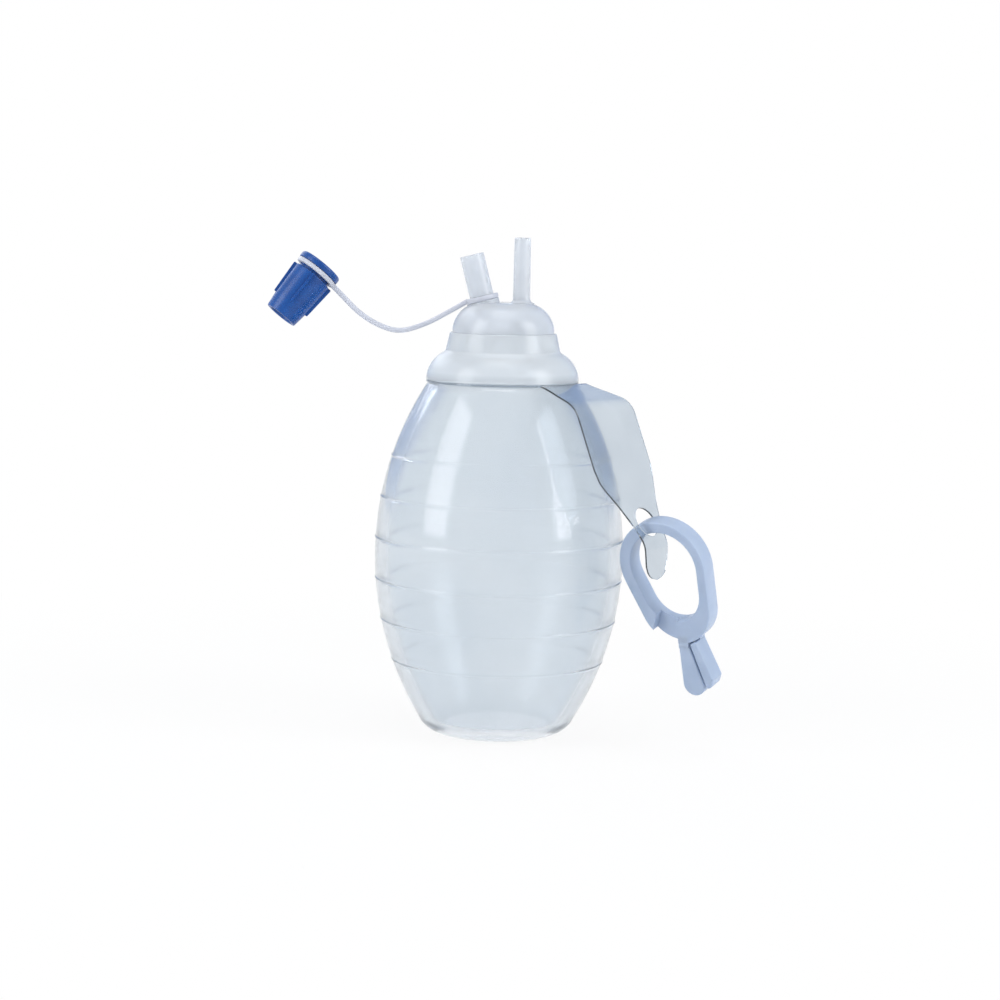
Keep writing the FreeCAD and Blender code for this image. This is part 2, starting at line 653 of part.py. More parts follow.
# Cap: head, grooved neck, tapered body with four fins, and the bore that covers the spout.
def make_cap():
    body = new_body("spout_cap", ["capX", "capY", "capZ", "0", "capLean", "-capTip"])
    sketch = new_sketch(body, "XZ_Plane", "CapProfile")
    groove_end = "(capHeadThick + capNeckLength)"
    add_loop(sketch, [
        ("0", "0"),
        ("0", "-capLength + capBoreDepth"),
        ("capBore", "-capLength + capBoreDepth"),
        ("capBore", "-capLength + capMouthChamfer"),
        ("capBore + capMouthChamfer", "-capLength"),
        ("capMouthRadius", "-capLength"),
        ("capStepRadius", "-capStepDepth"),
        ("capBodyRadius", "-" + groove_end),
        ("capNeckRadius", "-" + groove_end),
        ("capNeckRadius", "-capHeadThick"),
        ("capHeadRadius", "-capHeadThick"),
        ("capHeadRadius", "-capHeadRound"),
        ("capHeadRadius - capHeadRound", "0"),
    ], {11: ("capHeadRound", 1)})
    turn(body, sketch, "CapBody")
    fin = new_sketch(body, "XZ_Plane", "FinOutline")
    add_loop(fin, [
        ("capStepRadius - finRoot", "-" + groove_end),
        ("capStepRadius - finRoot", "-capStepDepth"),
        ("finFootRadius", "-capStepDepth"),
        ("finTopRadius", "-" + groove_end),
    ])
    first_fin = pad(body, fin, "Fin", "finThick", middle=True)
    pattern = body.newObject("PartDesign::PolarPattern", "Fins")
    pattern.Originals = [first_fin]
    axis = [item for item in body.Origin.OriginFeatures if item.Role == "Z_Axis"][0]
    pattern.Axis = (axis, [""])
    pattern.Angle = 360.0
    pattern.Occurrences = int(number("finCount"))
    body.Tip = pattern
    doc.recompute()
    return body


# Hanging tab: a sheet bent along its centre line, on a collar in the groove under the shoulder.
def make_tab():
    body = new_body("hanging_tab", ["0", "0", "0", "-tabAzimuth", "0", "0"])
    half = "tabThick / 2"

    def side(sign):
        """One face of the sheet from the collar to the tip, and the radii of its three bends."""
        bend = "(tabBendRadius %s %s)" % (sign, half)
        other = "-" if sign == "+" else "+"
        sway = "(tabSwayRadius %s %s)" % (other, half)
        last = "(tabEndRadius %s %s)" % (sign, half)
        end_x = "tabTurnCentreX + %s * sin(tabEndSlope)" % last
        end_z = "tabTurnCentreZ + %s * cos(tabEndSlope)" % last
        run = [
            ("tabRootX %s %s * sin(tabRootSlope)" % (sign, half),
             "tabRootZ %s %s * cos(tabRootSlope)" % (sign, half)),
            ("tabBendCentreX + %s * sin(tabRootSlope)" % bend,
             "tabBendCentreZ + %s * cos(tabRootSlope)" % bend),
            ("tabBendCentreX + %s * sin(tabFallSlope)" % bend,
             "tabBendCentreZ + %s * cos(tabFallSlope)" % bend),
            ("tabSwayCentreX - %s * sin(tabFallSlope)" % sway,
             "tabSwayCentreZ - %s * cos(tabFallSlope)" % sway),
            ("tabSwayCentreX - %s * sin(tabHoleSlope)" % sway,
             "tabSwayCentreZ - %s * cos(tabHoleSlope)" % sway),
            ("tabTurnCentreX + %s * sin(tabHoleSlope)" % last,
             "tabTurnCentreZ + %s * cos(tabHoleSlope)" % last),
            (end_x, end_z),
            (end_x + " + tabEndRun * cos(tabEndSlope)", end_z + " - tabEndRun * sin(tabEndSlope)"),
        ]
        return run, (bend, sway, last)

    outer, outer_arms = side("+")
    inner, inner_arms = side("-")
    sketch = new_sketch(body, "XZ_Plane", "TabSection")
    arcs = {1: (outer_arms[0], -1), 3: (outer_arms[1], 1), 5: (outer_arms[2], -1)}
    arcs.update({9: (inner_arms[2], 1), 11: (inner_arms[1], -1), 13: (inner_arms[0], 1)})
    add_loop(sketch, outer + inner[::-1], arcs)
    pad(body, sketch, "TabSheet", "2 * tabHalfWidth", middle=True)
    # Seen from the front, the sheet narrows beside the hole and ends in a rounded tongue.
    wide = "tabHoleZ + tabWideRise"
    beyond = "tabHalfWidth + cutMargin"
    below = "tabTipZ - cutMargin"
    for sign, name, turned in (("", "Right", 1), ("-", "Left", -1)):
        trim = new_sketch(body, "YZ_Plane", "Trim" + name, ["0", "0", "tabFallX", "0", "0", "0"])
        add_loop(trim, [
            (sign + "tabHalfWidth", wide),
            (sign + "tabHoleHalfWidth", "tabHoleZ"),
            (sign + "tabNeckHalfWidth", "tabHoleZ - tabNeckDrop"),
            (sign + "tabEndHalfWidth", "tabTipZ + tabEndRise"),
            ("0", "tabTipZ"),
            ("0", below),
            (sign + "(%s)" % beyond, below),
            (sign + "(%s)" % beyond, wide),
        ], {0: ("tabShoulderRound", -turned), 3: ("tabEndRound", -turned)})
        pocket(body, trim, "TrimCut" + name, "2 * tabHalfWidth", back=True)
    # Seen from above, it narrows towards the collar.
    for sign, name, turned in (("", "Right", 1), ("-", "Left", -1)):
        waist = new_sketch(body, "XY_Plane", "Waist" + name, ["0", "0", "tabBendCentreZ", "0", "0", "0"])
        add_loop(waist, [
            ("tabRootX - cutMargin", sign + "tabRootHalfWidth"),
            ("tabRootX + tabWaistReach", sign + "tabRootHalfWidth"),
            ("tabBendCentreX + tabBendRadius", sign + "tabHalfWidth"),
            ("tabBendCentreX + tabBendRadius", sign + "(%s)" % beyond),
            ("tabRootX - cutMargin", sign + "(%s)" % beyond),
        ], {1: ("tabWaistRound", turned)})
        pocket(body, waist, "WaistCut" + name, "2 * tabHalfWidth", back=True)
    hole = new_sketch(body, "XY_Plane", "TabHole", ["tabHoleX", "0", "tabHoleZ", "0", "tabHoleSlope", "0"])
    add_circle(hole, ("0", "0"), "tabHoleRadius")
    pocket(body, hole, "HoleCut", "tabHoleRadius", middle=True)
    collar = new_sketch(body, "XY_Plane", "Collar", ["0", "0", "seamHeight", "0", "0", "0"])
    add_circle(collar, ("0", "0"), "seamRadius")
    add_circle(collar, ("0", "0"), "collarRadius")
    pad(body, collar, "CollarPad", "tabThick")
    return body


# Ring clip: a flat oval ring whose two half-thick ends lap at the foot and turn out as finger tabs.
def make_clip():
    # The ring's tangent at clipHangAngle passes through the tab's hole.
    # World place of the ring's top circle: the hole's centre less the hang point, turned by yaw and pitch.
    hole_x = "tabHoleX * cos(tabAzimuth)"
    hole_y = "-tabHoleX * sin(tabAzimuth)"
    x_text = "%s - clipHangX * cos(clipYaw) + clipHangZ * sin(clipYaw) * sin(clipPitch)" % hole_x
    y_text = "%s + clipHangX * sin(clipYaw) + clipHangZ * cos(clipYaw) * sin(clipPitch)" % hole_y
    z_text = "tabHoleZ - clipHangZ * cos(clipPitch)"
    body = new_body("ring_clip", [x_text, y_text, z_text, "0", "0", "0"])
    place = body.Placement
    spin = FreeCAD.Rotation(FreeCAD.Vector(0, 0, 1), -number("clipYaw"))
    lean = FreeCAD.Rotation(FreeCAD.Vector(1, 0, 0), 90 + number("clipPitch"))
    place.Rotation = spin.multiply(lean)
    body.Placement = place
    # The ring's foot is an arc that meets the slanted left side and the upright right side.
    outline = new_sketch(body, "XY_Plane", "RingOutline")
    foot_left = (
        "clipFootX - clipFootRadius * cos(clipTaper)",
        "clipFootZ - clipFootRadius * sin(clipTaper)",
    )
    add_loop(outline, [
        ("clipTopRadius", "0"),
        ("0", "clipTopRadius"),
        ("clipLeftX", "clipLeftZ"),
        foot_left,
        ("clipFootX", "clipFootZ - clipFootRadius"),
        ("clipTopRadius", "clipFootZ"),
    ], {0: ("clipTopRadius", 1), 1: ("clipTopRadius", 1),
        3: ("clipFootRadius", 1), 4: ("clipFootRadius", 1)})
    add_loop(outline, [
        ("clipInnerShift + clipInnerRadius", "0"),
        ("clipInnerShift", "clipInnerRadius"),
        ("clipInnerLeftX", "clipInnerLeftZ"),
        ("clipInnerFootX - clipInnerFootRadius * cos(clipTaper)",
         "clipInnerFootZ - clipInnerFootRadius * sin(clipTaper)"),
        ("clipInnerFootX", "clipInnerFootZ - clipInnerFootRadius"),
        ("clipInnerShift + clipInnerRadius", "clipInnerFootZ"),
    ], {0: ("clipInnerRadius", 1), 1: ("clipInnerRadius", 1),
        3: ("clipInnerFootRadius", 1), 4: ("clipInnerFootRadius", 1)})
    ring = pad(body, outline, "RingPad", "clipThick", middle=True)
    rounds = body.newObject("PartDesign::Fillet", "RingRounds")
    rounds.Base = (ring, level_faces(ring.Shape))
    rounds.Radius = number("clipEdgeRound")
    rounds.setExpression("Radius", bound("clipEdgeRound"))
    doc.recompute()

    def under(x_text, gap_text):
        """Height of the ring's outer foot arc at x, less a gap."""
        return "(clipFootZ - sqrt((clipFootRadius + %s)^2 - (%s - clipFootX)^2))" % (gap_text, x_text)

    # Outlines of the two fingers: the front one hangs on the right arm, the rear one on the left arm.
    front_right = "(lapPlate + frontFingerTop)"
    front_top = under("lapPlate", "fingerNotch")
    front_foot = "(%s + (%s - fingerFootZ) * tan(fingerLean))" % (front_right, front_top)
    rear_left = "(%s + fingerSlit)" % front_right
    rear_right = "(%s + rearFingerTop)" % rear_left
    rear_foot = "(%s + fingerSlit)" % front_foot
    rear_high = "(fingerFootZ + rearFingerLift)"
    rear_side = "(%s + (%s - %s) * tan(rearFingerLean))" % (
        rear_right, under(rear_right, "fingerNotch"), rear_high)
    front_chord = "(%s - lapPlate)" % front_foot
    rear_chord = "sqrt((%s - %s)^2 + rearFingerLift^2)" % (rear_side, rear_foot)
    layer = "(clipThick - lapGap) / 2"
    front_layer = ["0", "0", "lapGap / 2", "0", "0", "0"]
    back_layer = ["0", "0", "-lapGap / 2", "0", "0", "0"]

    def root(name, left, right, place, back):
        """A half-thick strip from the ring's foot down into a finger."""
        strip = new_sketch(body, "XY_Plane", name, place)
        add_loop(strip, [
            (left, "clipBottomZ + fingerRoot"),
            (left, "clipBottomZ - fingerRoot / 2"),
            (right, "clipBottomZ - fingerRoot / 2"),
            (right, "clipBottomZ + fingerRoot"),
        ])
        pad(body, strip, name + "Pad", layer, back=back)

    root("FrontRoot", "lapPlate", front_right, front_layer, False)
    front = new_sketch(body, "XY_Plane", "FrontFinger")
    add_loop(front, [
        ("lapPlate", front_top),
        ("lapPlate", "fingerFootZ"),
        (front_foot, "fingerFootZ"),
        (front_right, front_top),
    ], {1: ("(fingerRoundness * %s)" % front_chord, 1)})
    pad(body, front, "FrontFingerPad", "clipThick", middle=True)
    root("RearRoot", rear_left + " + fingerSlit", rear_right, back_layer, True)
    rear = new_sketch(body, "XY_Plane", "RearFinger")
    add_loop(rear, [
        (rear_left, under(rear_left, "fingerNotch")),
        (rear_foot, "fingerFootZ"),
        (rear_side, rear_high),
        (rear_right, under(rear_right, "fingerNotch")),
    ], {1: ("(fingerRoundness * %s)" % rear_chord, 1)})
    pad(body, rear, "RearFingerPad", "clipThick", middle=True)
    # The lap: a thin gap between the layers, open at the slot that ends the left arm.
    slot_right = "(lapSlotX + lapSlot)"
    lap_left = "(lapPlate - fingerSlit)"
    gap = new_sketch(body, "XY_Plane", "LapGap")
    add_loop(gap, [
        (lap_left, "0"),
        (lap_left, under(lap_left, "fingerNotch / 2")),
        (slot_right, under(slot_right, "fingerNotch / 2")),
        (slot_right, "0"),
    ], {1: ("(clipFootRadius + fingerNotch / 2)", 1)})
    pocket(body, gap, "LapGapCut", "lapGap", middle=True)
    slot = new_sketch(body, "XY_Plane", "LapSlot", front_layer)
    slot_drift = "(clipBottomZ * tan(lapSlotLean))"
    add_loop(slot, [
        ("lapSlotX", "0"),
        ("lapSlotX - %s" % slot_drift, "clipBottomZ"),
        ("lapSlotX + lapSlot - %s" % slot_drift, "clipBottomZ"),
        (slot_right, "0"),
    ])
    pocket(body, slot, "LapSlotCut", "clipThick")
    step_x = "(clipFootX - lapStep)"
    step = new_sketch(body, "XY_Plane", "LapStep", back_layer)
    add_loop(step, [
        (step_x, "clipFootZ"),
        (step_x + " - (clipFootRadius + cutMargin) * tan(lapStepLean)",
         "clipBottomZ - cutMargin"),
        ("lapPlate", "clipBottomZ - cutMargin"),
        ("lapPlate", "clipFootZ"),
    ])
    pocket(body, step, "LapStepCut", "clipThick", back=True)
    return body


makers = [make_bulb, make_port_cap, make_valve, make_tether, make_cap, make_tab, make_clip]
bodies = [make() for make in makers]
doc.recompute()

for item in doc.Objects:
    if "Invalid" in item.State or "Error" in item.State:
        raise RuntimeError("%s is in state %s" % (item.Label, item.State))

os.makedirs("parts", exist_ok=True)
for body in bodies:
    shape = body.Shape
    if shape.isNull() or not shape.isValid():
        raise RuntimeError("%s has no valid shape" % body.Label)
    shape.exportStep("parts/%s.step" % body.Label)
    box = shape.BoundBox
    print("%-18s %d solid(s) %9.1f mm3  x %.1f %.1f  y %.1f %.1f  z %.1f %.1f" % (
        body.Label, len(shape.Solids), shape.Volume,
        box.XMin, box.XMax, box.YMin, box.YMax, box.ZMin, box.ZMax))
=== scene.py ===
import math

import bmesh
import bpy
from mathutils import Matrix, Vector


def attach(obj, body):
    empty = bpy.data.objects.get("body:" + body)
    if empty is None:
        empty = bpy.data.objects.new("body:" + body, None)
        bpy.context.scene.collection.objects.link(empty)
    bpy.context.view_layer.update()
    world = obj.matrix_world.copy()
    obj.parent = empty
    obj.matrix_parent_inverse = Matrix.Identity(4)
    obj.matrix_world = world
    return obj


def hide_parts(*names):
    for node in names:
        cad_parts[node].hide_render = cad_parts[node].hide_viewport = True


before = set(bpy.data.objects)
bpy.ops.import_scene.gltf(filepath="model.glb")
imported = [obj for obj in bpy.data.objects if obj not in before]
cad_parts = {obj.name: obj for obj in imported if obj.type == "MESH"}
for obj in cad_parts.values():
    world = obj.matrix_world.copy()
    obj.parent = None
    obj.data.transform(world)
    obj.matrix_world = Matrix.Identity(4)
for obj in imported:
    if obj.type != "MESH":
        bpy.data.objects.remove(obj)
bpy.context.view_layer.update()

# Sizes in the dictionaries are millimetres and degrees, in the frame of the CAD model:
# origin at the centre of the bulb's flat base, Z up, the camera on the -Y side.
mm = 0.001
cutMargin = 1.0  # cutters reach this far past the faces that they cut
hair = 0.02  # keeps two faces from lying in each other


def cosd(angle):
    return math.cos(math.radians(angle))


def sind(angle):
    return math.sin(math.radians(angle))


def tand(angle):
    return math.tan(math.radians(angle))


def rotation(angle, axis):
    return Matrix.Rotation(math.radians(angle), 4, axis)


def arcPoints(centre, radius, start, end, steps):
    # points on an arc, angles in degrees
    return [(centre[0] + radius * cosd(start + (end - start) * i / steps),
             centre[1] + radius * sind(start + (end - start) * i / steps)) for i in range(steps + 1)]


def roundCorners(points, steps=5, closed=False):
    # points are (x, y) or (x, y, radius): a radius turns that corner into an arc
    mostOfSide = 0.49  # the share of a side that one corner may take
    result = []
    count = len(points)
    for i, point in enumerate(points):
        radius = point[2] if len(point) > 2 else 0
        here = Vector(point[:2])
        if radius <= 0 or (not closed and i in (0, count - 1)):
            result.append((here.x, here.y))
            continue
        before = Vector(points[i - 1][:2]) - here
        after = Vector(points[(i + 1) % count][:2]) - here
        turn = before.angle(after)
        reach = min(radius / math.tan(turn / 2), before.length * mostOfSide, after.length * mostOfSide)
        radius = reach * math.tan(turn / 2)
        start = here + before.normalized() * reach
        end = here + after.normalized() * reach
        inward = (before.normalized() + after.normalized()).normalized()
        centre = here + inward * (radius / math.sin(turn / 2))
        for step in range(steps + 1):
            spoke = (start - centre).slerp(end - centre, step / steps) * radius
            result.append((centre.x + spoke.x, centre.y + spoke.y))
    return result


def cleanMesh(piece, smoothAngle=35, merge=0.002):
    # joins points nearer than merge, and shades every edge flatter than smoothAngle smooth
    work = bmesh.new()
    work.from_mesh(piece.data)
    bmesh.ops.remove_doubles(work, verts=work.verts, dist=merge * mm)
    bmesh.ops.recalc_face_normals(work, faces=work.faces)
    for face in work.faces:
        face.smooth = True
    for edge in work.edges:
        if len(edge.link_faces) == 2:
            edge.smooth = edge.calc_face_angle() < math.radians(smoothAngle)
    work.to_mesh(piece.data)
    work.free()


def meshObject(name, vertices, faces, smoothAngle=35):
    # millimetre points to a metre mesh
    mesh = bpy.data.meshes.new(name)
    mesh.from_pydata([(x * mm, y * mm, z * mm) for x, y, z in vertices], [], faces)
    piece = bpy.data.objects.new(name, mesh)
    bpy.context.scene.collection.objects.link(piece)
    cleanMesh(piece, smoothAngle)
    return piece


def bakedMesh(piece):
    # the mesh that a curve or an object's modifiers make
    bpy.context.view_layer.update()
    return bpy.data.meshes.new_from_object(piece.evaluated_get(bpy.context.evaluated_depsgraph_get()))


def place(piece, matrix):
    # moves a mesh's points, so that the object itself stays at the origin
    piece.data.transform(matrix)
    return piece


def spin(name, profile, segments, ripple=None):
    # closed solid of revolution about Z from points of (radius, height),
    # which run from the axis to the axis or else make a closed loop
    closed = profile[0][0] > 0
    onAxis = 1e-6  # a radius under this is on the axis
    vertices = []
    rows = []
    for radius, height in profile:
        if radius <= onAxis:
            rows.append([len(vertices)] * segments)
            vertices.append((0, 0, height))
            continue
        row = []
        for step in range(segments):
            angle = 2 * math.pi * step / segments
            grown = radius + (ripple(radius, height, angle) if ripple else 0)
            row.append(len(vertices))
            vertices.append((grown * math.cos(angle), grown * math.sin(angle), height))
        rows.append(row)
    faces = []
    for i in range(len(rows) if closed else len(rows) - 1):
        low, high = rows[i], rows[(i + 1) % len(rows)]
        for step in range(segments):
            after = (step + 1) % segments
            corners = [low[step], low[after], high[after], high[step]]
            kept = [corner for n, corner in enumerate(corners) if corner not in corners[:n]]
            if len(kept) > 2:
                faces.append(kept)
    return meshObject(name, vertices, faces)


def flatRing(name, inner, outer, low, high, edge):
    profile = roundCorners([(inner, low, edge), (outer, low, edge),
                            (outer, high, edge), (inner, high, edge)], steps=3, closed=True)
    return spin(name, profile, segments=72)


def plate(name, loops, low, high, edge=0.0):
    # flat plate between two heights from closed outlines, its edges rounded by edge
    curve = bpy.data.curves.new(name, "CURVE")
    curve.dimensions = "2D"
    curve.fill_mode = "BOTH"
    curve.extrude = (high - low) / 2 * mm - edge * mm
    curve.bevel_depth = edge * mm
    curve.bevel_resolution = 3  # steps round an edge
    curve.offset = -edge * mm
    for loop in loops:
        spline = curve.splines.new("POLY")
        spline.points.add(len(loop) - 1)
        for point, (x, y) in zip(spline.points, loop):
            point.co = (x * mm, y * mm, 0, 1)
        spline.use_cyclic_u = True
    source = bpy.data.objects.new(name + "Curve", curve)
    bpy.context.scene.collection.objects.link(source)
    mesh = bakedMesh(source)
    bpy.data.objects.remove(source)
    piece = bpy.data.objects.new(name, mesh)
    bpy.context.scene.collection.objects.link(piece)
    place(piece, Matrix.Translation((0, 0, (low + high) / 2 * mm)))
    cleanMesh(piece)
    return piece


def combine(base, others, operation="UNION", smoothAngle=35):
    # joins or cuts closed meshes, and removes the ones that were used
    for other in others:
        change = base.modifiers.new("combine", "BOOLEAN")
        change.operation = operation
        change.solver = "EXACT"
        change.object = other
        mesh = bakedMesh(base)
        base.modifiers.clear()
        base.data = mesh
        bpy.data.objects.remove(other)
    cleanMesh(base, smoothAngle)


def joinMeshes(base, others):
    # puts closed meshes that overlap into one object
    whole = bmesh.new()
    for part in [base] + others:
        whole.from_mesh(part.data)
    whole.to_mesh(base.data)
    whole.free()
    for other in others:
        bpy.data.objects.remove(other)
    cleanMesh(base, merge=0.0005)


def finishPiece(piece, body, material, node):
    piece.data.materials.clear()
    piece.data.materials.append(material)
    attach(piece, body)
    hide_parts(node)


def hexColour(text):
    # an sRGB hex value as linear red, green, blue and alpha
    result = []
    for i in (1, 3, 5):
        channel = int(text[i:i + 2], 16) / 255
        result.append(channel / 12.92 if channel <= 0.04045 else ((channel + 0.055) / 1.055) ** 2.4)
    return result + [1.0]


def addNode(tree, kind, settings=None, links=None):
    # a setting goes to the socket of that name or number, or else to the node itself
    node = tree.nodes.new(kind)
    for key, value in (settings or {}).items():
        if isinstance(key, int) or key in node.inputs.keys():
            node.inputs[key].default_value = value
        else:
            setattr(node, key, value)
    for key, source in (links or {}).items():
        tree.links.new(source, node.inputs[key])
    return node


def newMaterial(name):
    material = bpy.data.materials.new(name)
    material.use_nodes = True
    tree = material.node_tree
    tree.nodes.clear()
    return material, tree


def addAbsorption(tree, output, look):
    # colour that grows with the way the light goes through the wall
    absorb = addNode(tree, "ShaderNodeVolumeAbsorption",
                     {"Color": hexColour(look["depthTone"]), "Density": look["depthDensity"] / mm})
    tree.links.new(absorb.outputs["Volume"], output.inputs["Volume"])


def addMilk(tree, coords, skin, shader, look):
    # less clear and less glossy above a height, as the shoulder and the neck are
    spot = addNode(tree, "ShaderNodeSeparateXYZ", links={"Vector": coords.outputs["Object"]})
    span = {"From Min": look["milkyFrom"] * mm, "From Max": look["milkyTo"] * mm}
    clear = addNode(tree, "ShaderNodeMapRange",
                    dict(span, **{"To Min": look["transmission"], "To Max": look["milkyTransmission"]}),
                    {"Value": spot.outputs["Z"]})
    tree.links.new(clear.outputs["Result"], shader.inputs["Transmission Weight"])
    added = addNode(tree, "ShaderNodeMapRange",
                    dict(span, **{"To Min": 0.0, "To Max": look["milkyRoughness"]}),
                    {"Value": spot.outputs["Z"]})
    rough = addNode(tree, "ShaderNodeMath", {"operation": "ADD"},
                    {0: skin.outputs["Result"], 1: added.outputs["Result"]})
    tree.links.new(rough.outputs[0], shader.inputs["Roughness"])


# what all mouldings share: the detail of their clouds and grain, and where the two tones begin
moulding = {"cloudDetail": 3.0, "cloudRoughness": 0.55, "darkUpTo": 0.35, "lightFrom": 0.65,
            "grainDetail": 2.0}


def mouldedMaterial(name, look):
    # moulded soft or hard plastic: two close tones in slow clouds, and the skin that the mould leaves.
    # That skin is finer than the render can show, so its grain is drawn as coarse as grainSize.
    material, tree = newMaterial(name)
    coords = addNode(tree, "ShaderNodeTexCoord")
    clouds = addNode(tree, "ShaderNodeTexNoise",
                     {"Scale": 1 / (look["cloudSize"] * mm), "Detail": moulding["cloudDetail"],
                      "Roughness": moulding["cloudRoughness"]},
                     {"Vector": coords.outputs["Object"]})
    ramp = addNode(tree, "ShaderNodeValToRGB", links={"Fac": clouds.outputs["Fac"]})
    dark, light = ramp.color_ramp.elements
    dark.position = moulding["darkUpTo"]
    dark.color = hexColour(look["darkTone"])
    light.position = moulding["lightFrom"]
    light.color = hexColour(look["lightTone"])
    grain = addNode(tree, "ShaderNodeTexNoise",
                    {"Scale": 1 / (look["grainSize"] * mm), "Detail": moulding["grainDetail"]},
                    {"Vector": coords.outputs["Object"]})
    skin = addNode(tree, "ShaderNodeMapRange",
                   {"To Min": look["roughness"] - look["roughnessSpread"],
                    "To Max": look["roughness"] + look["roughnessSpread"]},
                   {"Value": grain.outputs["Fac"]})
    bump = addNode(tree, "ShaderNodeBump",
                   {"Strength": look["bump"], "Distance": look["bumpDepth"] * mm},
                   {"Height": grain.outputs["Fac"]})
    shader = addNode(tree, "ShaderNodeBsdfPrincipled",
                     {"IOR": look["ior"], "Transmission Weight": look["transmission"],
                      "Subsurface Weight": look["subsurface"],
                      "Subsurface Scale": look["scatterDepth"] * mm,
                      "Subsurface Radius": look["scatterRadius"]},
                     {"Base Color": ramp.outputs["Color"], "Roughness": skin.outputs["Result"],
                      "Normal": bump.outputs["Normal"]})
    output = addNode(tree, "ShaderNodeOutputMaterial", links={"Surface": shader.outputs["BSDF"]})
    if "depthTone" in look:
        addAbsorption(tree, output, look)
    if "milkyFrom" in look:
        addMilk(tree, coords, skin, shader, look)
    return material


# platinum-cured silicone, injection moulded: glossy, slightly cloudy,
# cool grey-blue through its thickness, and milkier from the shoulder up
siliconeLook = {
    "darkTone": "#eff4f8", "lightTone": "#f4f8fb", "cloudSize": 28.0, "grainSize": 2.4,
    "roughness": 0.115, "roughnessSpread": 0.02, "bump": 0.04, "bumpDepth": 0.04,
    "ior": 1.41, "transmission": 0.86,
    "subsurface": 0.0, "scatterDepth": 2.0, "scatterRadius": (1.0, 1.1, 1.25),
    "depthTone": "#b9d3f0", "depthDensity": 0.011,
    "milkyFrom": 93.0, "milkyTo": 98.0, "milkyTransmission": 0.5, "milkyRoughness": 0.1,
}
clearSilicone = mouldedMaterial("clearSilicone", siliconeLook)

# the port cap's silicone, injection moulded too: milky all over and less glossy
portLook = {key: value for key, value in siliconeLook.items() if not key.startswith("milky")}
portLook.update(darkTone="#eff4fa", lightTone="#f5f8fc", transmission=0.54, roughness=0.18)
milkySilicone = mouldedMaterial("milkySilicone", portLook)

# the materials below start from the port cap's, without colour that grows with depth
plainLook = {key: value for key, value in portLook.items() if not key.startswith("depth")}

# low-density polyethylene, moulded: waxy and translucent
tetherLook = dict(plainLook, darkTone="#d6dae6", lightTone="#dee1eb", cloudSize=6.0, grainSize=3.0,
                  bump=0.02, roughness=0.42, transmission=0.2, ior=1.51)
waxyPolyethylene = mouldedMaterial("waxyPolyethylene", tetherLook)

# dyed polyethylene, moulded: deep blue with a soft shine, light bleeding through thin edges
capLook = dict(plainLook, darkTone="#00438c", lightTone="#004e9c", cloudSize=5.0, grainSize=3.0,
               bump=0.02, roughness=0.34, roughnessSpread=0.03, transmission=0.0, subsurface=0.1,
               scatterDepth=0.8, scatterRadius=(0.2, 0.7, 1.4), ior=1.51)
bluePolyethylene = mouldedMaterial("bluePolyethylene", capLook)

# acetal, moulded: pale blue, satin
clipLook = dict(plainLook, darkTone="#a8b8d0", lightTone="#b0bfd6", cloudSize=9.0, grainSize=1.2,
                bump=0.06, roughness=0.36, roughnessSpread=0.06, transmission=0.0, subsurface=0.2,
                scatterDepth=1.0, scatterRadius=(0.8, 0.9, 1.2), ior=1.48)
paleAcetal = mouldedMaterial("paleAcetal", clipLook)

# calendered vinyl film, die cut: clear, faintly grey
filmLook = dict(plainLook, darkTone="#ccd5de", lightTone="#d3dce4", cloudSize=14.0,
                roughness=0.07, transmission=0.95, ior=1.53)
clearFilm = mouldedMaterial("clearFilm", filmLook)

# soft silicone of the duckbill valve: pale, dull and hardly clear
valveLook = dict(plainLook, darkTone="#dde6ee", lightTone="#e8eef4", transmission=0.2, roughness=0.4)
valveSilicone = mouldedMaterial("valveSilicone", valveLook)
print("materials made")


# bulb: one lathed shell with its graduation rings
bulb = {
    # seamEdge and valley are offsets across and up, shoulderEnds the degrees left out at the arc's ends
    "sideCentre": (-52.5, 48.7), "sideRadius": 86.0, "wall": 3.2,
    "baseRadius": 14.2, "baseCorner": 8.0, "cornerTurn": 55.5, "floorCorner": 5.0,
    "seamHeight": 95.0, "seamEdge": (-0.12, -0.1), "grooveRadius": 19.7, "grooveTop": 95.45,
    "shoulderCentre": 12.0, "shoulderRadius": 8.5, "shoulderEdge": 0.25, "shoulderEnds": (2.0, 4.0),
    "neckFoot": 15.5, "neckBore": 12.6, "valley": (-0.1, 0.45), "valleyRadius": 0.8,
    "rimRadius": 14.3, "rimHeight": 108.3, "rimEdge": 0.3,
    # the port cap's skirt is bonded into the neck, so both are drawn as one thickness
    "skirtInner": 11.3, "skirtDepth": 6.0, "skirtEdge": 0.4,
    "ringFirst": 20.0, "ringPitch": 11.05, "ringCount": 6, "ringProud": 0.22, "ringHalfWidth": 0.4,
    "ringSoftness": 1.5, "ringWorn": 0.45,
    # rows of the mesh: radii on the base and the floor, and counts up the side
    "baseRows": (0, 6, 11), "floorRows": (8, 0), "sideRows": 110, "innerRows": 70,
    "sideTop": 0.4, "innerTop": 1.0,
    # rows across a ring, in half-widths from its middle, and how far the other rows stay away
    "ringRows": (-1.6, -1, -0.6, -0.3, 0, 0.3, 0.6, 1, 1.6), "ringClear": 0.75,
    "skin": 1.0, "skinHeights": (5, 94),
}
ringHeights = [bulb["ringFirst"] + bulb["ringPitch"] * i for i in range(bulb["ringCount"])]


def sideRadiusAt(height, radius):
    centre = bulb["sideCentre"]
    return centre[0] + math.sqrt(radius ** 2 - (height - centre[1]) ** 2)


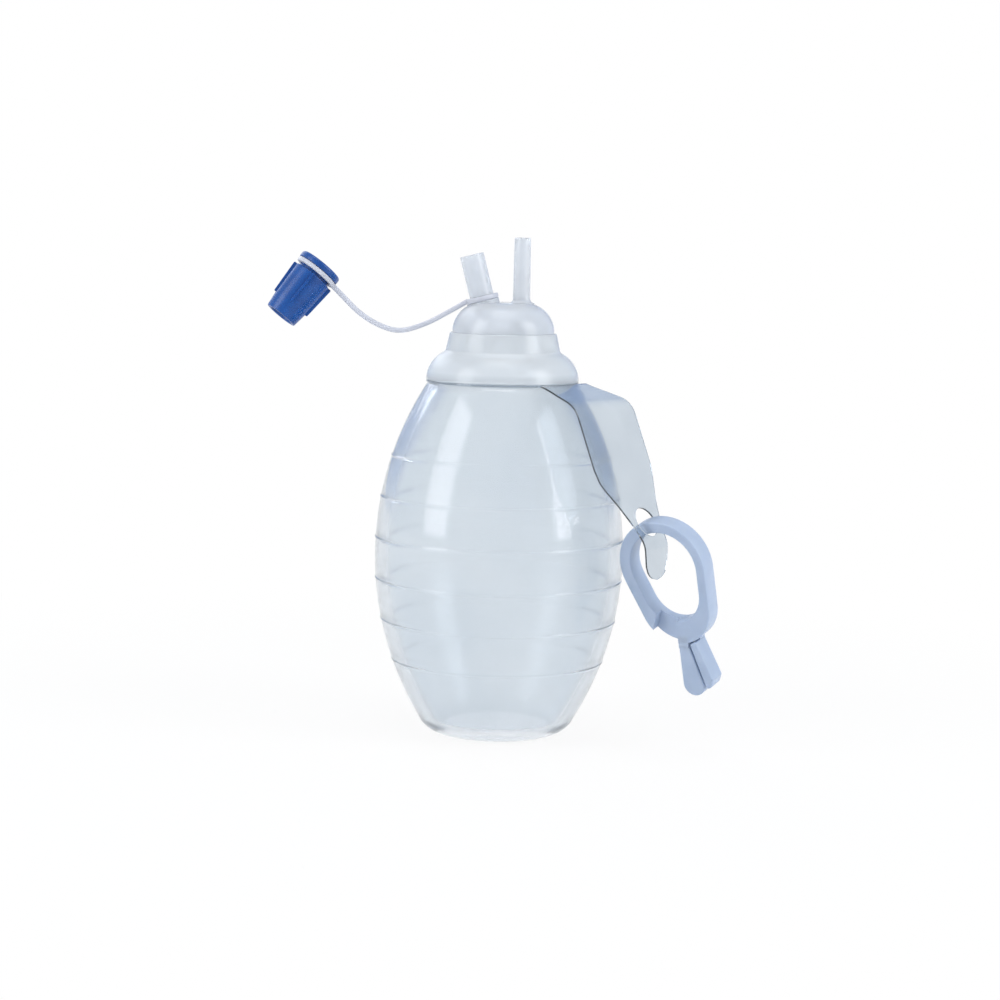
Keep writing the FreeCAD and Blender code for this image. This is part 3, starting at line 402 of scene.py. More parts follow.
def sideHeights():
    # heights of the side's rows: even, and close together across each ring
    start = bulb["baseCorner"] * (1 - cosd(bulb["cornerTurn"]))
    rise = bulb["seamHeight"] - bulb["sideTop"] - start
    even = [start + rise * i / bulb["sideRows"] for i in range(1, bulb["sideRows"] + 1)]
    near = [height + bulb["ringHalfWidth"] * k for height in ringHeights for k in bulb["ringRows"]]
    free = [height for height in even
            if all(abs(height - ring) > bulb["ringClear"] for ring in ringHeights)]
    return sorted(free + near)


def bulbProfile():
    turn = bulb["cornerTurn"]
    seam = bulb["seamHeight"]
    outer = [(radius, 0) for radius in bulb["baseRows"]]
    outer += arcPoints((bulb["baseRadius"], bulb["baseCorner"]), bulb["baseCorner"],
                       -90, -90 + turn, steps=12)
    outer += [(sideRadiusAt(height, bulb["sideRadius"]), height) for height in sideHeights()]
    outer += [(sideRadiusAt(seam, bulb["sideRadius"]) + bulb["seamEdge"][0], seam + bulb["seamEdge"][1]),
              (bulb["grooveRadius"], seam), (bulb["grooveRadius"], bulb["grooveTop"])]
    shoulder = (bulb["shoulderCentre"], bulb["grooveTop"])
    outer.append((shoulder[0] + bulb["shoulderRadius"] - bulb["shoulderEdge"], bulb["grooveTop"]))
    end = math.degrees(math.acos((bulb["neckFoot"] - shoulder[0]) / bulb["shoulderRadius"]))
    arc = arcPoints(shoulder, bulb["shoulderRadius"],
                    bulb["shoulderEnds"][0], end - bulb["shoulderEnds"][1], steps=20)
    outer += arc
    # a soft valley between the shoulder and the neck, then the rim
    skirtFoot = bulb["rimHeight"] - bulb["skirtDepth"]
    outer += roundCorners([
        arc[-1],
        (bulb["neckFoot"] + bulb["valley"][0], arc[-1][1] + bulb["valley"][1], bulb["valleyRadius"]),
        (bulb["rimRadius"], bulb["rimHeight"], bulb["rimEdge"]), (bulb["skirtInner"], bulb["rimHeight"]),
        (bulb["skirtInner"], skirtFoot, bulb["skirtEdge"]), (bulb["neckBore"], skirtFoot),
    ])[1:]
    innerShoulder = bulb["shoulderRadius"] - bulb["wall"]
    begin = math.degrees(math.acos((bulb["neckBore"] - shoulder[0]) / innerShoulder))
    inner = arcPoints(shoulder, innerShoulder, begin, 0, steps=14)
    innerSide = bulb["sideRadius"] - bulb["wall"]
    floorStart = bulb["wall"] + bulb["floorCorner"] * (1 - cosd(turn))
    top = seam - bulb["innerTop"]
    for i in range(bulb["innerRows"] + 1):
        height = top - (top - floorStart) * i / bulb["innerRows"]
        inner.append((sideRadiusAt(height, innerSide), height))
    floorX = sideRadiusAt(floorStart, innerSide) - bulb["floorCorner"] * sind(turn)
    floorCentre = (floorX, bulb["wall"] + bulb["floorCorner"])
    inner += arcPoints(floorCentre, bulb["floorCorner"], -90 + turn, -90, steps=8)[1:]
    inner += [(radius, bulb["wall"]) for radius in bulb["floorRows"]]
    return outer + inner


def graduationRipple(radius, height, angle):
    # raised rings on the outer skin, worn low in the middle of the front and back as the mould leaves them
    lowest, highest = bulb["skinHeights"]
    if radius < sideRadiusAt(min(max(height, lowest), highest), bulb["sideRadius"]) - bulb["skin"]:
        return 0
    worn = 1 - bulb["ringWorn"] + bulb["ringWorn"] * abs(math.cos(angle))
    total = 0
    for ring in range(bulb["ringCount"]):
        away = (height - bulb["ringFirst"] - bulb["ringPitch"] * ring) / bulb["ringHalfWidth"]
        if abs(away) < 1:
            total += bulb["ringProud"] * (1 - away ** 2) ** bulb["ringSoftness"] * worn
    return total


bulbShell = spin("bulbShell", bulbProfile(), 192, graduationRipple)
finishPiece(bulbShell, "bulb", clearSilicone, "bulb_body")
print("bulb made")


# port cap: dome, inlet tube, spout and the valve's socket
port = {
    "domeTop": 116.4, "domeRadius": 13.7, "domeCorner": 8.0, "domeWall": 2.4, "domeFlat": 0.6,
    "rimEdge": 0.25, "inletX": 4.7, "inletTip": 2.15, "inletFoot": 2.3, "inletLength": 17.3,
    "inletBore": 1.5, "inletEdge": 0.3, "flare": 0.9, "flareWider": 0.25, "flareRoot": 0.3, "flareTop": 1.0,
    "spoutX": -5.6, "spoutLean": 14.6, "spoutRadius": 3.225, "spoutBore": 2.35, "spoutLength": 12.9,
    "spoutRoot": 1.9, "spoutEdge": 0.25,
    "bossRadius": 4.35, "bossHeight": 0.3, "bossEdge": 0.15, "bossFoot": 0.1,
    # how much wider each bore is at its mouth, and how deep
    "inletMouth": (0.25, 0.3), "spoutMouth": (0.2, 0.25),
    "socketRadius": 3.6, "socketBore": 2.4, "socketDrop": 6.5, "socketSeat": 3.8,
    # the passages are turned a little, so that their facets don't line up with those of the tubes
    "passageTurn": 1.7,
}
inletPlace = Matrix.Translation((port["inletX"] * mm, 0, port["domeTop"] * mm))
spoutPlace = (Matrix.Translation((port["spoutX"] * mm, 0, port["domeTop"] * mm))
              @ rotation(-port["spoutLean"], "Y"))


def makeDome():
    flat = port["domeRadius"] - port["domeCorner"]
    low = port["domeTop"] - port["domeCorner"]
    rim = bulb["rimHeight"] + hair
    profile = [(0, port["domeTop"]), (flat * port["domeFlat"], port["domeTop"])]
    profile += arcPoints((flat, low), port["domeCorner"], 90, 0, steps=24)
    profile += roundCorners([(port["domeRadius"], low), (port["domeRadius"], rim, port["rimEdge"]),
                             (bulb["skirtInner"], rim), (bulb["skirtInner"], low)])[1:]
    profile += arcPoints((flat, low), port["domeCorner"] - port["domeWall"], 0, 90, steps=14)[1:]
    profile += [(0, port["domeTop"] - port["domeWall"])]
    return spin("portCap", profile, segments=144)


def makeInlet():
    foot, flare, length = port["inletFoot"], port["flare"], port["inletLength"]
    middle = -port["domeWall"] / 2
    profile = [(0, middle), (foot + flare + port["flareRoot"], middle)]
    for angle in range(0, 91, 15):
        wider = port["flareWider"] * (1 - angle / 90)
        profile.append((foot + flare * (1 - sind(angle)) + wider, flare * (1 - cosd(angle))))
    profile += roundCorners([(foot, flare + port["flareTop"]),
                             (port["inletTip"], length, port["inletEdge"]), (0, length)])
    return place(spin("inletTube", profile, segments=64), inletPlace)


def makeSpout():
    boss, radius, length = port["bossRadius"], port["spoutRadius"], port["spoutLength"]
    profile = roundCorners([
        (0, -port["spoutRoot"]), (boss, -port["spoutRoot"]), (boss, port["bossHeight"], port["bossEdge"]),
        (radius, port["bossHeight"], port["bossFoot"]), (radius, length, port["spoutEdge"]), (0, length)])
    return place(spin("spout", profile, segments=72), spoutPlace)


def mouthProfile(length, bore, mouth):
    # the end of a passage's cutter at its tube's mouth
    wider, deep = mouth
    return [(0, length + cutMargin), (bore + wider, length + cutMargin),
            (bore + wider, length - hair), (bore, length - deep)]


def makePortCap():
    dome = makeDome()
    middle = -port["domeWall"] / 2
    socketFoot = -port["domeWall"] - port["socketDrop"]
    socket = spin("socket", [(0, middle), (port["socketRadius"], middle),
                             (port["socketRadius"], socketFoot), (0, socketFoot)], segments=48)
    combine(dome, [makeInlet(), makeSpout(), place(socket, inletPlace)])
    bore = port["socketBore"] + hair
    passage = mouthProfile(port["inletLength"], port["inletBore"], port["inletMouth"])
    passage += [(port["inletBore"], -port["socketSeat"]), (bore, -port["socketSeat"]),
                (bore, socketFoot - cutMargin), (0, socketFoot - cutMargin)]
    inletPassage = spin("inletPassage", passage, segments=48)
    place(inletPassage, inletPlace @ rotation(port["passageTurn"], "Z"))
    below = -port["domeWall"] * 2
    passage = mouthProfile(port["spoutLength"], port["spoutBore"], port["spoutMouth"])
    passage += [(port["spoutBore"], below), (0, below)]
    spoutPassage = spin("spoutPassage", passage, segments=56)
    place(spoutPassage, spoutPlace @ rotation(port["passageTurn"], "Z"))
    combine(dome, [inletPassage, spoutPassage], "DIFFERENCE")
    finishPiece(dome, "bulb", milkySilicone, "port_cap")


makePortCap()
print("port cap made")

# the valve keeps its CAD mesh
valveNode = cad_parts["inlet_check_valve"]
valveNode.data.materials.clear()
valveNode.data.materials.append(valveSilicone)
print("valve given its material")


# sizes of the spout cap, which the tether's ring holds by its neck
cap = {
    "centre": (-48.8, 0.47, 125.4), "lean": 38.1, "tip": 11.0, "length": 17.5,
    "headRadius": 6.15, "headThick": 1.8, "headEdge": 0.7, "headUnder": 0.2,
    "neckRadius": 4.6, "neckLength": 2.1, "neckEdge": 0.15,
    "bodyRadius": 5.5, "stepRadius": 5.0, "stepDepth": 13.4, "bodyEdge": 0.3,
    "mouthRadius": 4.5, "mouthEdge": 0.25, "mouthWider": 0.35, "mouthDepth": 0.8,
    "bore": 3.25, "boreDepth": 12.5, "boreEdge": 0.4,
    "finThick": 0.65, "finTop": 6.25, "finFoot": 5.6, "finCount": 4, "finEdge": 0.12, "finRoot": 0.6,
}
capPlace = (Matrix.Translation(Vector(cap["centre"]) * mm)
            @ rotation(cap["lean"], "Y") @ rotation(-cap["tip"], "X"))

# tether: two rings and the strap between them, one moulding
tether = {
    "thick": 1.25, "width": 3.0, "edge": 0.35, "start": (-9.627, 116.565), "bottomRadius": 10.0,
    "spoutRadius": 36.0, "capRadius": 24.0, "spoutBlend": 16.0, "capBlend": 18.0,
    "spoutSlope": 30.0, "capSlope": 45.0, "spoutRun": 8.71, "capRun": 7.72,
    "spoutRingInner": 3.305, "spoutRingOuter": 4.405, "spoutRingLow": 0.35,
    "capRingInner": 4.68, "capRingOuter": 5.98, "capRingTop": -1.85, "ringEdge": 0.25, "play": 0.08,
}


def strapLine():
    # the strap's middle line in the XZ plane, from the spout's ring to the cap's ring
    spoutRadius, lowRadius, capRadius = tether["spoutRadius"], tether["bottomRadius"], tether["capRadius"]
    spoutSlope, spoutBlend = tether["spoutSlope"], tether["spoutBlend"]
    capSlope, capBlend = tether["capSlope"], tether["capBlend"]
    first = Vector(tether["start"])
    fall = first - tether["spoutRun"] * Vector((cosd(spoutSlope), sind(spoutSlope)))
    spoutCentre = fall + spoutRadius * Vector((-sind(spoutSlope), cosd(spoutSlope)))
    lowCentre = spoutCentre + (spoutRadius - lowRadius) * Vector((sind(spoutBlend), -cosd(spoutBlend)))
    capCentre = lowCentre + (capRadius - lowRadius) * Vector((sind(capBlend), cosd(capBlend)))
    line = arcPoints(spoutCentre, spoutRadius, -90 + spoutSlope, -90 + spoutBlend, steps=10)
    line += arcPoints(lowCentre, lowRadius, -90 + spoutBlend, -90 - capBlend, steps=12)[1:]
    line += arcPoints(capCentre, capRadius, -90 - capBlend, -90 - capSlope, steps=12)[1:]
    last = Vector(line[-1]) + tether["capRun"] * Vector((-cosd(capSlope), sind(capSlope)))
    inSteps, outSteps = 6, 5
    runIn = [first.lerp(Vector(line[0]), i / inSteps) for i in range(inSteps)]
    runOut = [Vector(line[-1]).lerp(last, i / outSteps) for i in range(1, outSteps + 1)]
    return [tuple(point) for point in runIn] + line + [tuple(point) for point in runOut]


def sweepStrap(name, line, width, thick, edge):
    # a band with rounded edges along a line in the XZ plane
    across, up = width / 2, thick / 2
    section = roundCorners([(-across, -up, edge), (across, -up, edge),
                            (across, up, edge), (-across, up, edge)], steps=3, closed=True)
    count = len(section)
    vertices = []
    for i, (x, z) in enumerate(line):
        before = Vector(line[max(i - 1, 0)])
        after = Vector(line[min(i + 1, len(line) - 1)])
        along = (after - before).normalized()
        vertices += [(x - along.y * height, side, z + along.x * height) for side, height in section]
    faces = []
    for i in range(len(line) - 1):
        low, high = i * count, (i + 1) * count
        for k in range(count):
            after = (k + 1) % count
            faces.append([low + k, low + after, high + after, high + k])
    faces += [list(range(count)), [len(vertices) - 1 - k for k in range(count)]]
    return meshObject(name, vertices, faces, smoothAngle=50)


def makeTether():
    strap = sweepStrap("capTether", strapLine(), tether["width"], tether["thick"], tether["edge"])
    top = tether["capRingTop"]
    room = cap["headRadius"] + tether["play"]
    headRoom = spin("headRoom", [(0, top), (room, top), (room, cutMargin), (0, cutMargin)], segments=48)
    combine(strap, [place(headRoom, capPlace)], "DIFFERENCE")
    low = tether["spoutRingLow"]
    spoutRing = flatRing("spoutRing", tether["spoutRingInner"], tether["spoutRingOuter"],
                         low, low + tether["thick"], tether["ringEdge"])
    capRing = flatRing("capRing", tether["capRingInner"], tether["capRingOuter"],
                       top - tether["thick"], top, tether["ringEdge"])
    combine(strap, [place(spoutRing, spoutPlace), place(capRing, capPlace)])
    finishPiece(strap, "tether", waxyPolyethylene, "cap_tether")


makeTether()
print("tether made")


# spout cap: head, groove, body with four ribs and an open mouth
def makeCap():
    head, neck, bore, edge = cap["headRadius"], cap["neckRadius"], cap["bore"], cap["bodyEdge"]
    under = -cap["headThick"]
    groove = under - cap["neckLength"]
    step = -cap["stepDepth"]
    mouth = -cap["length"]
    boreEnd = mouth + cap["boreDepth"]
    body = spin("spoutCap", roundCorners([
        (0, 0), (head, 0, cap["headEdge"]), (head, under, cap["headUnder"]),
        (neck, under, cap["neckEdge"]), (neck, groove, cap["neckEdge"]),
        (cap["bodyRadius"], groove, edge), (cap["stepRadius"], step, edge),
        (cap["mouthRadius"], mouth, cap["mouthEdge"]), (bore + cap["mouthWider"], mouth, edge),
        (bore, mouth + cap["mouthDepth"], cap["boreEdge"]), (bore, boreEnd, cap["boreEdge"]), (0, boreEnd),
    ]), segments=96)
    outline = roundCorners([(-cap["finTop"], groove, edge), (cap["finTop"], groove, edge),
                            (cap["finFoot"], step, edge), (-cap["finFoot"], step, edge)],
                           steps=4, closed=True)
    hollowRadius = cap["stepRadius"] - cap["finRoot"]
    hollowProfile = [(0, groove + cutMargin), (hollowRadius, groove + cutMargin),
                     (hollowRadius, step - cutMargin), (0, step - cutMargin)]
    ribs = []
    for i in range(cap["finCount"] // 2):
        # one plate makes two ribs, on opposite sides of the body
        rib = plate("rib", [outline], -cap["finThick"] / 2, cap["finThick"] / 2, cap["finEdge"])
        place(rib, rotation(90, "X"))
        combine(rib, [spin("ribHollow", hollowProfile, segments=48)], "DIFFERENCE")
        ribs.append(place(rib, rotation(90 * i, "Z")))
    combine(body, ribs)
    place(body, capPlace)
    finishPiece(body, "cap", bluePolyethylene, "spout_cap")


makeCap()
print("cap made")


# hanging tab: a die-cut film bent over the shoulder, with a hole for the clip
tab = {
    "azimuth": -36.5, "thick": 0.45, "rootX": 20.2, "rootZ": 95.225, "tuck": 0.4,
    "rootRun": 10.1, "rootSlope": 18.0, "bendRadius": 7.0, "fallSlope": 68.0, "fallRun": 16.8,
    "swayRadius": 18.0, "holeSlope": 58.0, "holeAlong": 9.8, "holeRun": 14.6, "holeRadius": 4.1,
    "endRadius": 6.0, "endSlope": 88.0, "endRun": 7.6,
    "collarInner": 19.72, "collarOuter": 20.5, "collarEdge": 0.05,
    # half-width at distances along the film from the collar
    "outline": [(0, 10.0), (3, 10.2), (8, 11.6), (13, 12.7), (18, 13.0), (34, 13.0), (38, 12.2), (41, 10.9),
                (45, 8.9), (49, 7.4), (53, 6.0), (57, 5.3), (61, 5.0), (64.5, 4.7), (66.5, 3.9),
                (67.8, 2.6), (68.4, 1.2), (68.6, 0.05)],
    "rowSpacing": 0.5, "columns": 28, "drillReach": 4.0, "smoothAngle": 40,
}
tabPlace = rotation(tab["azimuth"], "Z")


def stepDown(point, slope, run):
    return (point[0] + run * cosd(slope), point[1] - run * sind(slope))


def bendCentre(point, slope, radius):
    # the centre of a bend that starts at a point: under the film, or over it for a negative radius
    return (point[0] - radius * sind(slope), point[1] - radius * cosd(slope))


def tabLine():
    # the film's middle line as (out, up), from the collar to the tip, and the hole's centre
    rootSlope, fallSlope = tab["rootSlope"], tab["fallSlope"]
    holeSlope, endSlope = tab["holeSlope"], tab["endSlope"]
    root = (tab["rootX"], tab["rootZ"])
    start = stepDown(root, rootSlope, tab["rootRun"])
    bend = arcPoints(bendCentre(start, rootSlope, tab["bendRadius"]), tab["bendRadius"],
                     90 - rootSlope, 90 - fallSlope, steps=14)
    start = stepDown(bend[-1], fallSlope, tab["fallRun"])
    sway = arcPoints(bendCentre(start, fallSlope, -tab["swayRadius"]), tab["swayRadius"],
                     270 - fallSlope, 270 - holeSlope, steps=6)
    hole = stepDown(sway[-1], holeSlope, tab["holeAlong"])
    start = stepDown(sway[-1], holeSlope, tab["holeRun"])
    turn = arcPoints(bendCentre(start, holeSlope, tab["endRadius"]), tab["endRadius"],
                     90 - holeSlope, 90 - endSlope, steps=8)
    tip = stepDown(turn[-1], endSlope, tab["endRun"])
    return [(tab["rootX"] - tab["tuck"], tab["rootZ"]), root] + bend + sway + turn + [tip], hole


def alongLine(line, spacing):
    # even points and directions along a broken line
    lengths = [(Vector(end) - Vector(start)).length for start, end in zip(line, line[1:])]
    total = sum(lengths)
    count = int(total / spacing)
    result = []
    for i in range(count + 1):
        distance = total * i / count
        rest = distance
        index = 0
        while index < len(lengths) - 1 and rest > lengths[index]:
            rest -= lengths[index]
            index += 1
        start, end = Vector(line[index]), Vector(line[index + 1])
        point = start.lerp(end, min(rest / lengths[index], 1))
        result.append((point, (end - start).normalized(), distance))
    return result, total


def widthAt(distance, outline):
    for (start, low), (end, high) in zip(outline, outline[1:]):
        if distance <= end:
            share = max((distance - start) / (end - start), 0)
            return low + (high - low) * share
    return outline[-1][1]


def makeFilm(line):
    # two layers of a grid, joined round the edge
    stations, total = alongLine(line, tab["rowSpacing"])
    columns = tab["columns"]
    rows = len(stations)
    vertices = []
    for side in (1, -1):
        for i, (point, along, distance) in enumerate(stations):
            direction = (stations[max(i - 1, 0)][1] + stations[min(i + 1, rows - 1)][1]).normalized()
            normal = Vector((-direction.y, direction.x))
            half = widthAt(distance * tab["outline"][-1][0] / total, tab["outline"])
            spot = point + normal * side * tab["thick"] / 2
            vertices += [(spot.x, half * (2 * k / columns - 1), spot.y) for k in range(columns + 1)]
    row = columns + 1
    layer = rows * row
    faces = []
    for i in range(rows - 1):
        for k in range(columns):
            corner = i * row + k
            quad = [corner, corner + 1, corner + row + 1, corner + row]
            faces.append(quad)
            faces.append([layer + quad[n] for n in (0, 3, 2, 1)])
        for k in (0, columns):
            corner = i * row + k
            faces.append([corner, corner + row, layer + corner + row, layer + corner])
    for i in (0, rows - 1):
        for k in range(columns):
            corner = i * row + k
            faces.append([corner, corner + 1, layer + corner + 1, layer + corner])
    return meshObject("hangingTab", vertices, faces, tab["smoothAngle"])


def makeTab():
    line, hole = tabLine()
    film = makeFilm(line)
    radius, reach = tab["holeRadius"], tab["drillReach"]
    drill = spin("tabHole", [(0, -reach), (radius, -reach), (radius, reach), (0, reach)], segments=64)
    place(drill, Matrix.Translation((hole[0] * mm, 0, hole[1] * mm)) @ rotation(tab["holeSlope"], "Y"))
    combine(film, [drill], "DIFFERENCE", tab["smoothAngle"])
    place(film, tabPlace)
    low = tab["rootZ"] - tab["thick"] / 2 + hair / 2
    high = tab["rootZ"] + tab["thick"] / 2 - hair / 2
    collar = flatRing("tabCollar", tab["collarInner"], tab["collarOuter"], low, high, tab["collarEdge"])
    combine(film, [collar], smoothAngle=tab["smoothAngle"])
    finishPiece(film, "bulb", clearFilm, "hanging_tab")
    return hole


tabHole = makeTab()
print("tab made")


# ring clip: an oval ring whose half-thick ends lap at the foot and turn out as two finger tabs
clip = {
    "yaw": 34.0, "pitch": 16.0, "hangAngle": 112.0, "holeGap": 0.45,
    "thick": 5.2, "topRadius": 12.6, "footRadius": 10.3, "band": 2.9, "edge": 0.4,
    "innerShift": 0.4, "innerFoot": 8.3, "taper": 24.0,
    "lapGap": 0.2, "lapStep": 4.6, "lapStepLean": 19.8, "lapPlate": 2.4, "stepEnd": 0.19,
    "slotX": 7.5, "slot": 0.4, "slotLean": 2.5, "slotEnd": 0.8, "notch": 0.4, "slit": 0.4,
    "lean": 17.0, "drop": 11.4, "frontTop": 2.9, "rearTop": 1.85, "rearLean": 20.5, "rearLift": 1.9,
    # rounding of the fingers' corners, and the rear finger's toe: out from its foot and down
    "frontCorners": (0.4, 0.5), "rearCorners": (0.3, 0.3, 0.6, 0.9, 0.8, 0.4),
    "rearToe": ((0.5, 0.75), (1.5, 0.35)),
    "rootRise": 2.2, "frontRootDrop": 1.3, "rearRootDrop": 1.1, "rearRootInset": 0.3,
}


def stadium(radius, footRadius, shift, taper):
    # closed outline of a top arc and a smaller foot arc, upright on the right and slanted on the left
    leftX, leftY = shift - radius * cosd(taper), -radius * sind(taper)
    footX = shift + radius - footRadius
    footY = leftY + (footRadius - cosd(taper) * (footX - leftX)) / sind(taper)
    outline = arcPoints((shift, 0), radius, 0, 180 + taper, steps=28)
    outline += arcPoints((footX, footY), footRadius, 180 + taper, 360, steps=28)
    return outline, (footX, footY)


def underRing(foot, x, gap):
    # height of the ring's lower edge at x, less a gap
    return foot[1] - math.sqrt((clip["footRadius"] + gap) ** 2 - (x - foot[0]) ** 2)


def rectangle(left, right, low, high):
    return [(left, low), (right, low), (right, high), (left, high)]


def makeFingers(foot, half, gap):
    # the two fingers, and the half-thick roots that carry them on their layers of the ring
    bottom = foot[1] - clip["footRadius"]
    low = bottom - clip["drop"]
    frontLeft = clip["lapPlate"]
    frontRight = frontLeft + clip["frontTop"]
    frontTop = underRing(foot, frontLeft, clip["notch"])
    frontFoot = frontRight + (frontTop - low) * tand(clip["lean"])
    middle, reach = (frontLeft + frontFoot) / 2, (frontFoot - frontLeft) / 2
    leftCorner, rightCorner = clip["frontCorners"]
    frontOutline = roundCorners([(frontLeft, frontTop, leftCorner), (frontLeft, low)]
                                + arcPoints((middle, low), reach, 180, 360, steps=16)[1:-1]
                                + [(frontFoot, low), (frontRight, frontTop, rightCorner)],
                                steps=4, closed=True)
    rearLeft = frontRight + clip["slit"]
    rearRight = rearLeft + clip["rearTop"]
    rearFoot = frontFoot + clip["slit"]
    rearTop = underRing(foot, rearRight, clip["notch"])
    rearHigh = low + clip["rearLift"]
    rearSide = rearRight + (rearTop - rearHigh) * tand(clip["rearLean"])
    rearPoints = [(rearLeft, underRing(foot, rearLeft, clip["notch"])), (rearFoot, low)]
    rearPoints += [(rearFoot + out, low - down) for out, down in clip["rearToe"]]
    rearPoints += [(rearSide, rearHigh), (rearRight, rearTop)]
    rearOutline = roundCorners([(x, y, corner) for (x, y), corner in zip(rearPoints, clip["rearCorners"])],
                               steps=5, closed=True)
    top = bottom + clip["rootRise"]
    frontRoot = rectangle(frontLeft + hair, frontRight - hair, bottom - clip["frontRootDrop"], top)
    rearRoot = rectangle(rearLeft + clip["rearRootInset"], rearRight - hair,
                         bottom - clip["rearRootDrop"], top)
    return [plate("frontRoot", [frontRoot], gap, half - hair),
            plate("frontFinger", [frontOutline], -half, half, clip["edge"]),
            plate("rearRoot", [rearRoot], -half + hair, -gap),
            plate("rearFinger", [rearOutline], -half, half, clip["edge"])]


def makeClipCutters(foot, half, gap):
    # the slit between the two lapped layers, then the rear layer's end and the front layer's end
    bottom = foot[1] - clip["footRadius"]
    lapLeft = clip["lapPlate"] - clip["slit"]
    slotLeft = clip["slotX"]
    slotRight = slotLeft + clip["slot"]
    steps = 8
    sector = [(lapLeft, 0)]
    for i in range(steps + 1):
        x = lapLeft + (slotRight - lapLeft) * i / steps
        sector.append((x, underRing(foot, x, clip["notch"] / 2)))
    sector.append((slotRight, 0))
    slotFoot = bottom + clip["slotEnd"]
    drift = -bottom * tand(clip["slotLean"])
    slot = [(slotLeft, 0), (slotRight, 0), (slotRight + drift, slotFoot), (slotLeft + drift, slotFoot)]
    stepX = foot[0] - clip["lapStep"]
    stepFoot = stepX - (clip["footRadius"] + cutMargin) * tand(clip["lapStepLean"])
    step = [(stepX, foot[1]), (clip["lapPlate"], foot[1]), (clip["lapPlate"], bottom - clip["stepEnd"]),
            (stepFoot, bottom - cutMargin)]
    return [plate("lapCut", [sector], -gap, gap),
            plate("slotCut", [slot], -half - cutMargin, gap),
            plate("stepCut", [step], -gap, half + cutMargin)]


def makeClip():
    half = clip["thick"] / 2
    gap = clip["lapGap"] / 2
    outer, foot = stadium(clip["topRadius"], clip["footRadius"], 0, clip["taper"])
    inner = stadium(clip["topRadius"] - clip["band"], clip["innerFoot"],
                    clip["innerShift"], clip["taper"])[0]
    ring = plate("ringClip", [outer, inner], -half, half, clip["edge"])
    combine(ring, makeClipCutters(foot, half, gap), "DIFFERENCE")
    joinMeshes(ring, makeFingers(foot, half, gap))
    # the ring hangs through the tab's hole, clear of its edge
    seat = math.sqrt((tab["holeRadius"] - clip["holeGap"]) ** 2 - half ** 2) - clip["band"] / 2
    hang = clip["topRadius"] - clip["band"] / 2 + seat
    turn = rotation(-clip["yaw"], "Z") @ rotation(90 + clip["pitch"], "X")
    holePlace = tabPlace @ Vector((tabHole[0], 0, tabHole[1]))
    offset = holePlace - turn @ Vector((hang * cosd(clip["hangAngle"]), hang * sind(clip["hangAngle"]), 0))
    place(ring, Matrix.Translation(offset * mm) @ turn)
    finishPiece(ring, "clip", paleAcetal, "ring_clip")


makeClip()
print("clip made")


# floor and light
studio = {
    "floorTone": "#f3f5f7", "worldTone": "#f4f8ff", "worldStrength": 0.45, "aimHeight": 65.0,
    # the floor is plain white beyond fadeEnd and keeps the most of its shadow inside fadeStart
    "floorGlow": 0.91, "fadeStart": 90.0, "fadeEnd": 280.0, "reach": 6000.0,
    # what gloss and clear walls see, by degrees away from straight behind the object
    "backdrop": [(11, "#ffffff"), (20, "#9ab1da"), (34, "#a3b8da"), (56, "#e3e9f1"), (100, "#c3c9d1")],
    "lights": [
        # name, degrees round from the camera's side, degrees up, distance, width, height, watts
        ("leftLight", -62, 24, 760, 340, 640, 2.5),
        ("rightLight", 66, 22, 780, 340, 600, 3.1),
        ("topLight", -10, 80, 720, 420, 420, 1.5),
        ("backLight", -150, 30, 800, 420, 420, 0.8),
    ],
}
pureWhite = (1, 1, 1, 1)


def seenByEye(tree):
    # 1 for the camera, and for what is seen in gloss and through clear walls
    path = addNode(tree, "ShaderNodeLightPath")
    direct = addNode(tree, "ShaderNodeMath", {"operation": "MAXIMUM"},
                     {0: path.outputs["Is Camera Ray"], 1: path.outputs["Is Transmission Ray"]})
    seen = addNode(tree, "ShaderNodeMath", {"operation": "MAXIMUM"},
                   {0: direct.outputs[0], 1: path.outputs["Is Glossy Ray"]})
    return path, seen


def makeFloor():
    # pale painted board: dull, with the object's shadow, and a glow for the eye that hides its edge
    material, tree = newMaterial("paleFloor")
    diffuse = addNode(tree, "ShaderNodeBsdfDiffuse", {"Color": hexColour(studio["floorTone"])})
    coords = addNode(tree, "ShaderNodeTexCoord")
    away = addNode(tree, "ShaderNodeVectorMath", {"operation": "LENGTH"}, {0: coords.outputs["Object"]})
    glow = addNode(tree, "ShaderNodeMapRange",
                   {"interpolation_type": "SMOOTHSTEP", "From Min": studio["fadeStart"] * mm,
                    "From Max": studio["fadeEnd"] * mm, "To Min": studio["floorGlow"], "To Max": 1.0},
                   {"Value": away.outputs["Value"]})
    seen = seenByEye(tree)[1]
    share = addNode(tree, "ShaderNodeMath", {"operation": "MULTIPLY"},
                    {0: seen.outputs[0], 1: glow.outputs["Result"]})
    white = addNode(tree, "ShaderNodeEmission", {"Color": pureWhite, "Strength": 1.0})
    mixed = addNode(tree, "ShaderNodeMixShader",
                    links={0: share.outputs[0], 1: diffuse.outputs[0], 2: white.outputs[0]})
    addNode(tree, "ShaderNodeOutputMaterial", links={"Surface": mixed.outputs[0]})
    # the glow is only for the eye, so it isn't sampled as a lamp
    material.cycles.emission_sampling = "NONE"
    reach = studio["reach"] * mm
    mesh = bpy.data.meshes.new("floor")
    mesh.from_pydata([(x, y, 0) for x, y in rectangle(-reach, reach, -reach, reach)], [], [[0, 1, 2, 3]])
    floor = bpy.data.objects.new("floor", mesh)
    floor.data.materials.append(material)
    bpy.context.scene.collection.objects.link(floor)


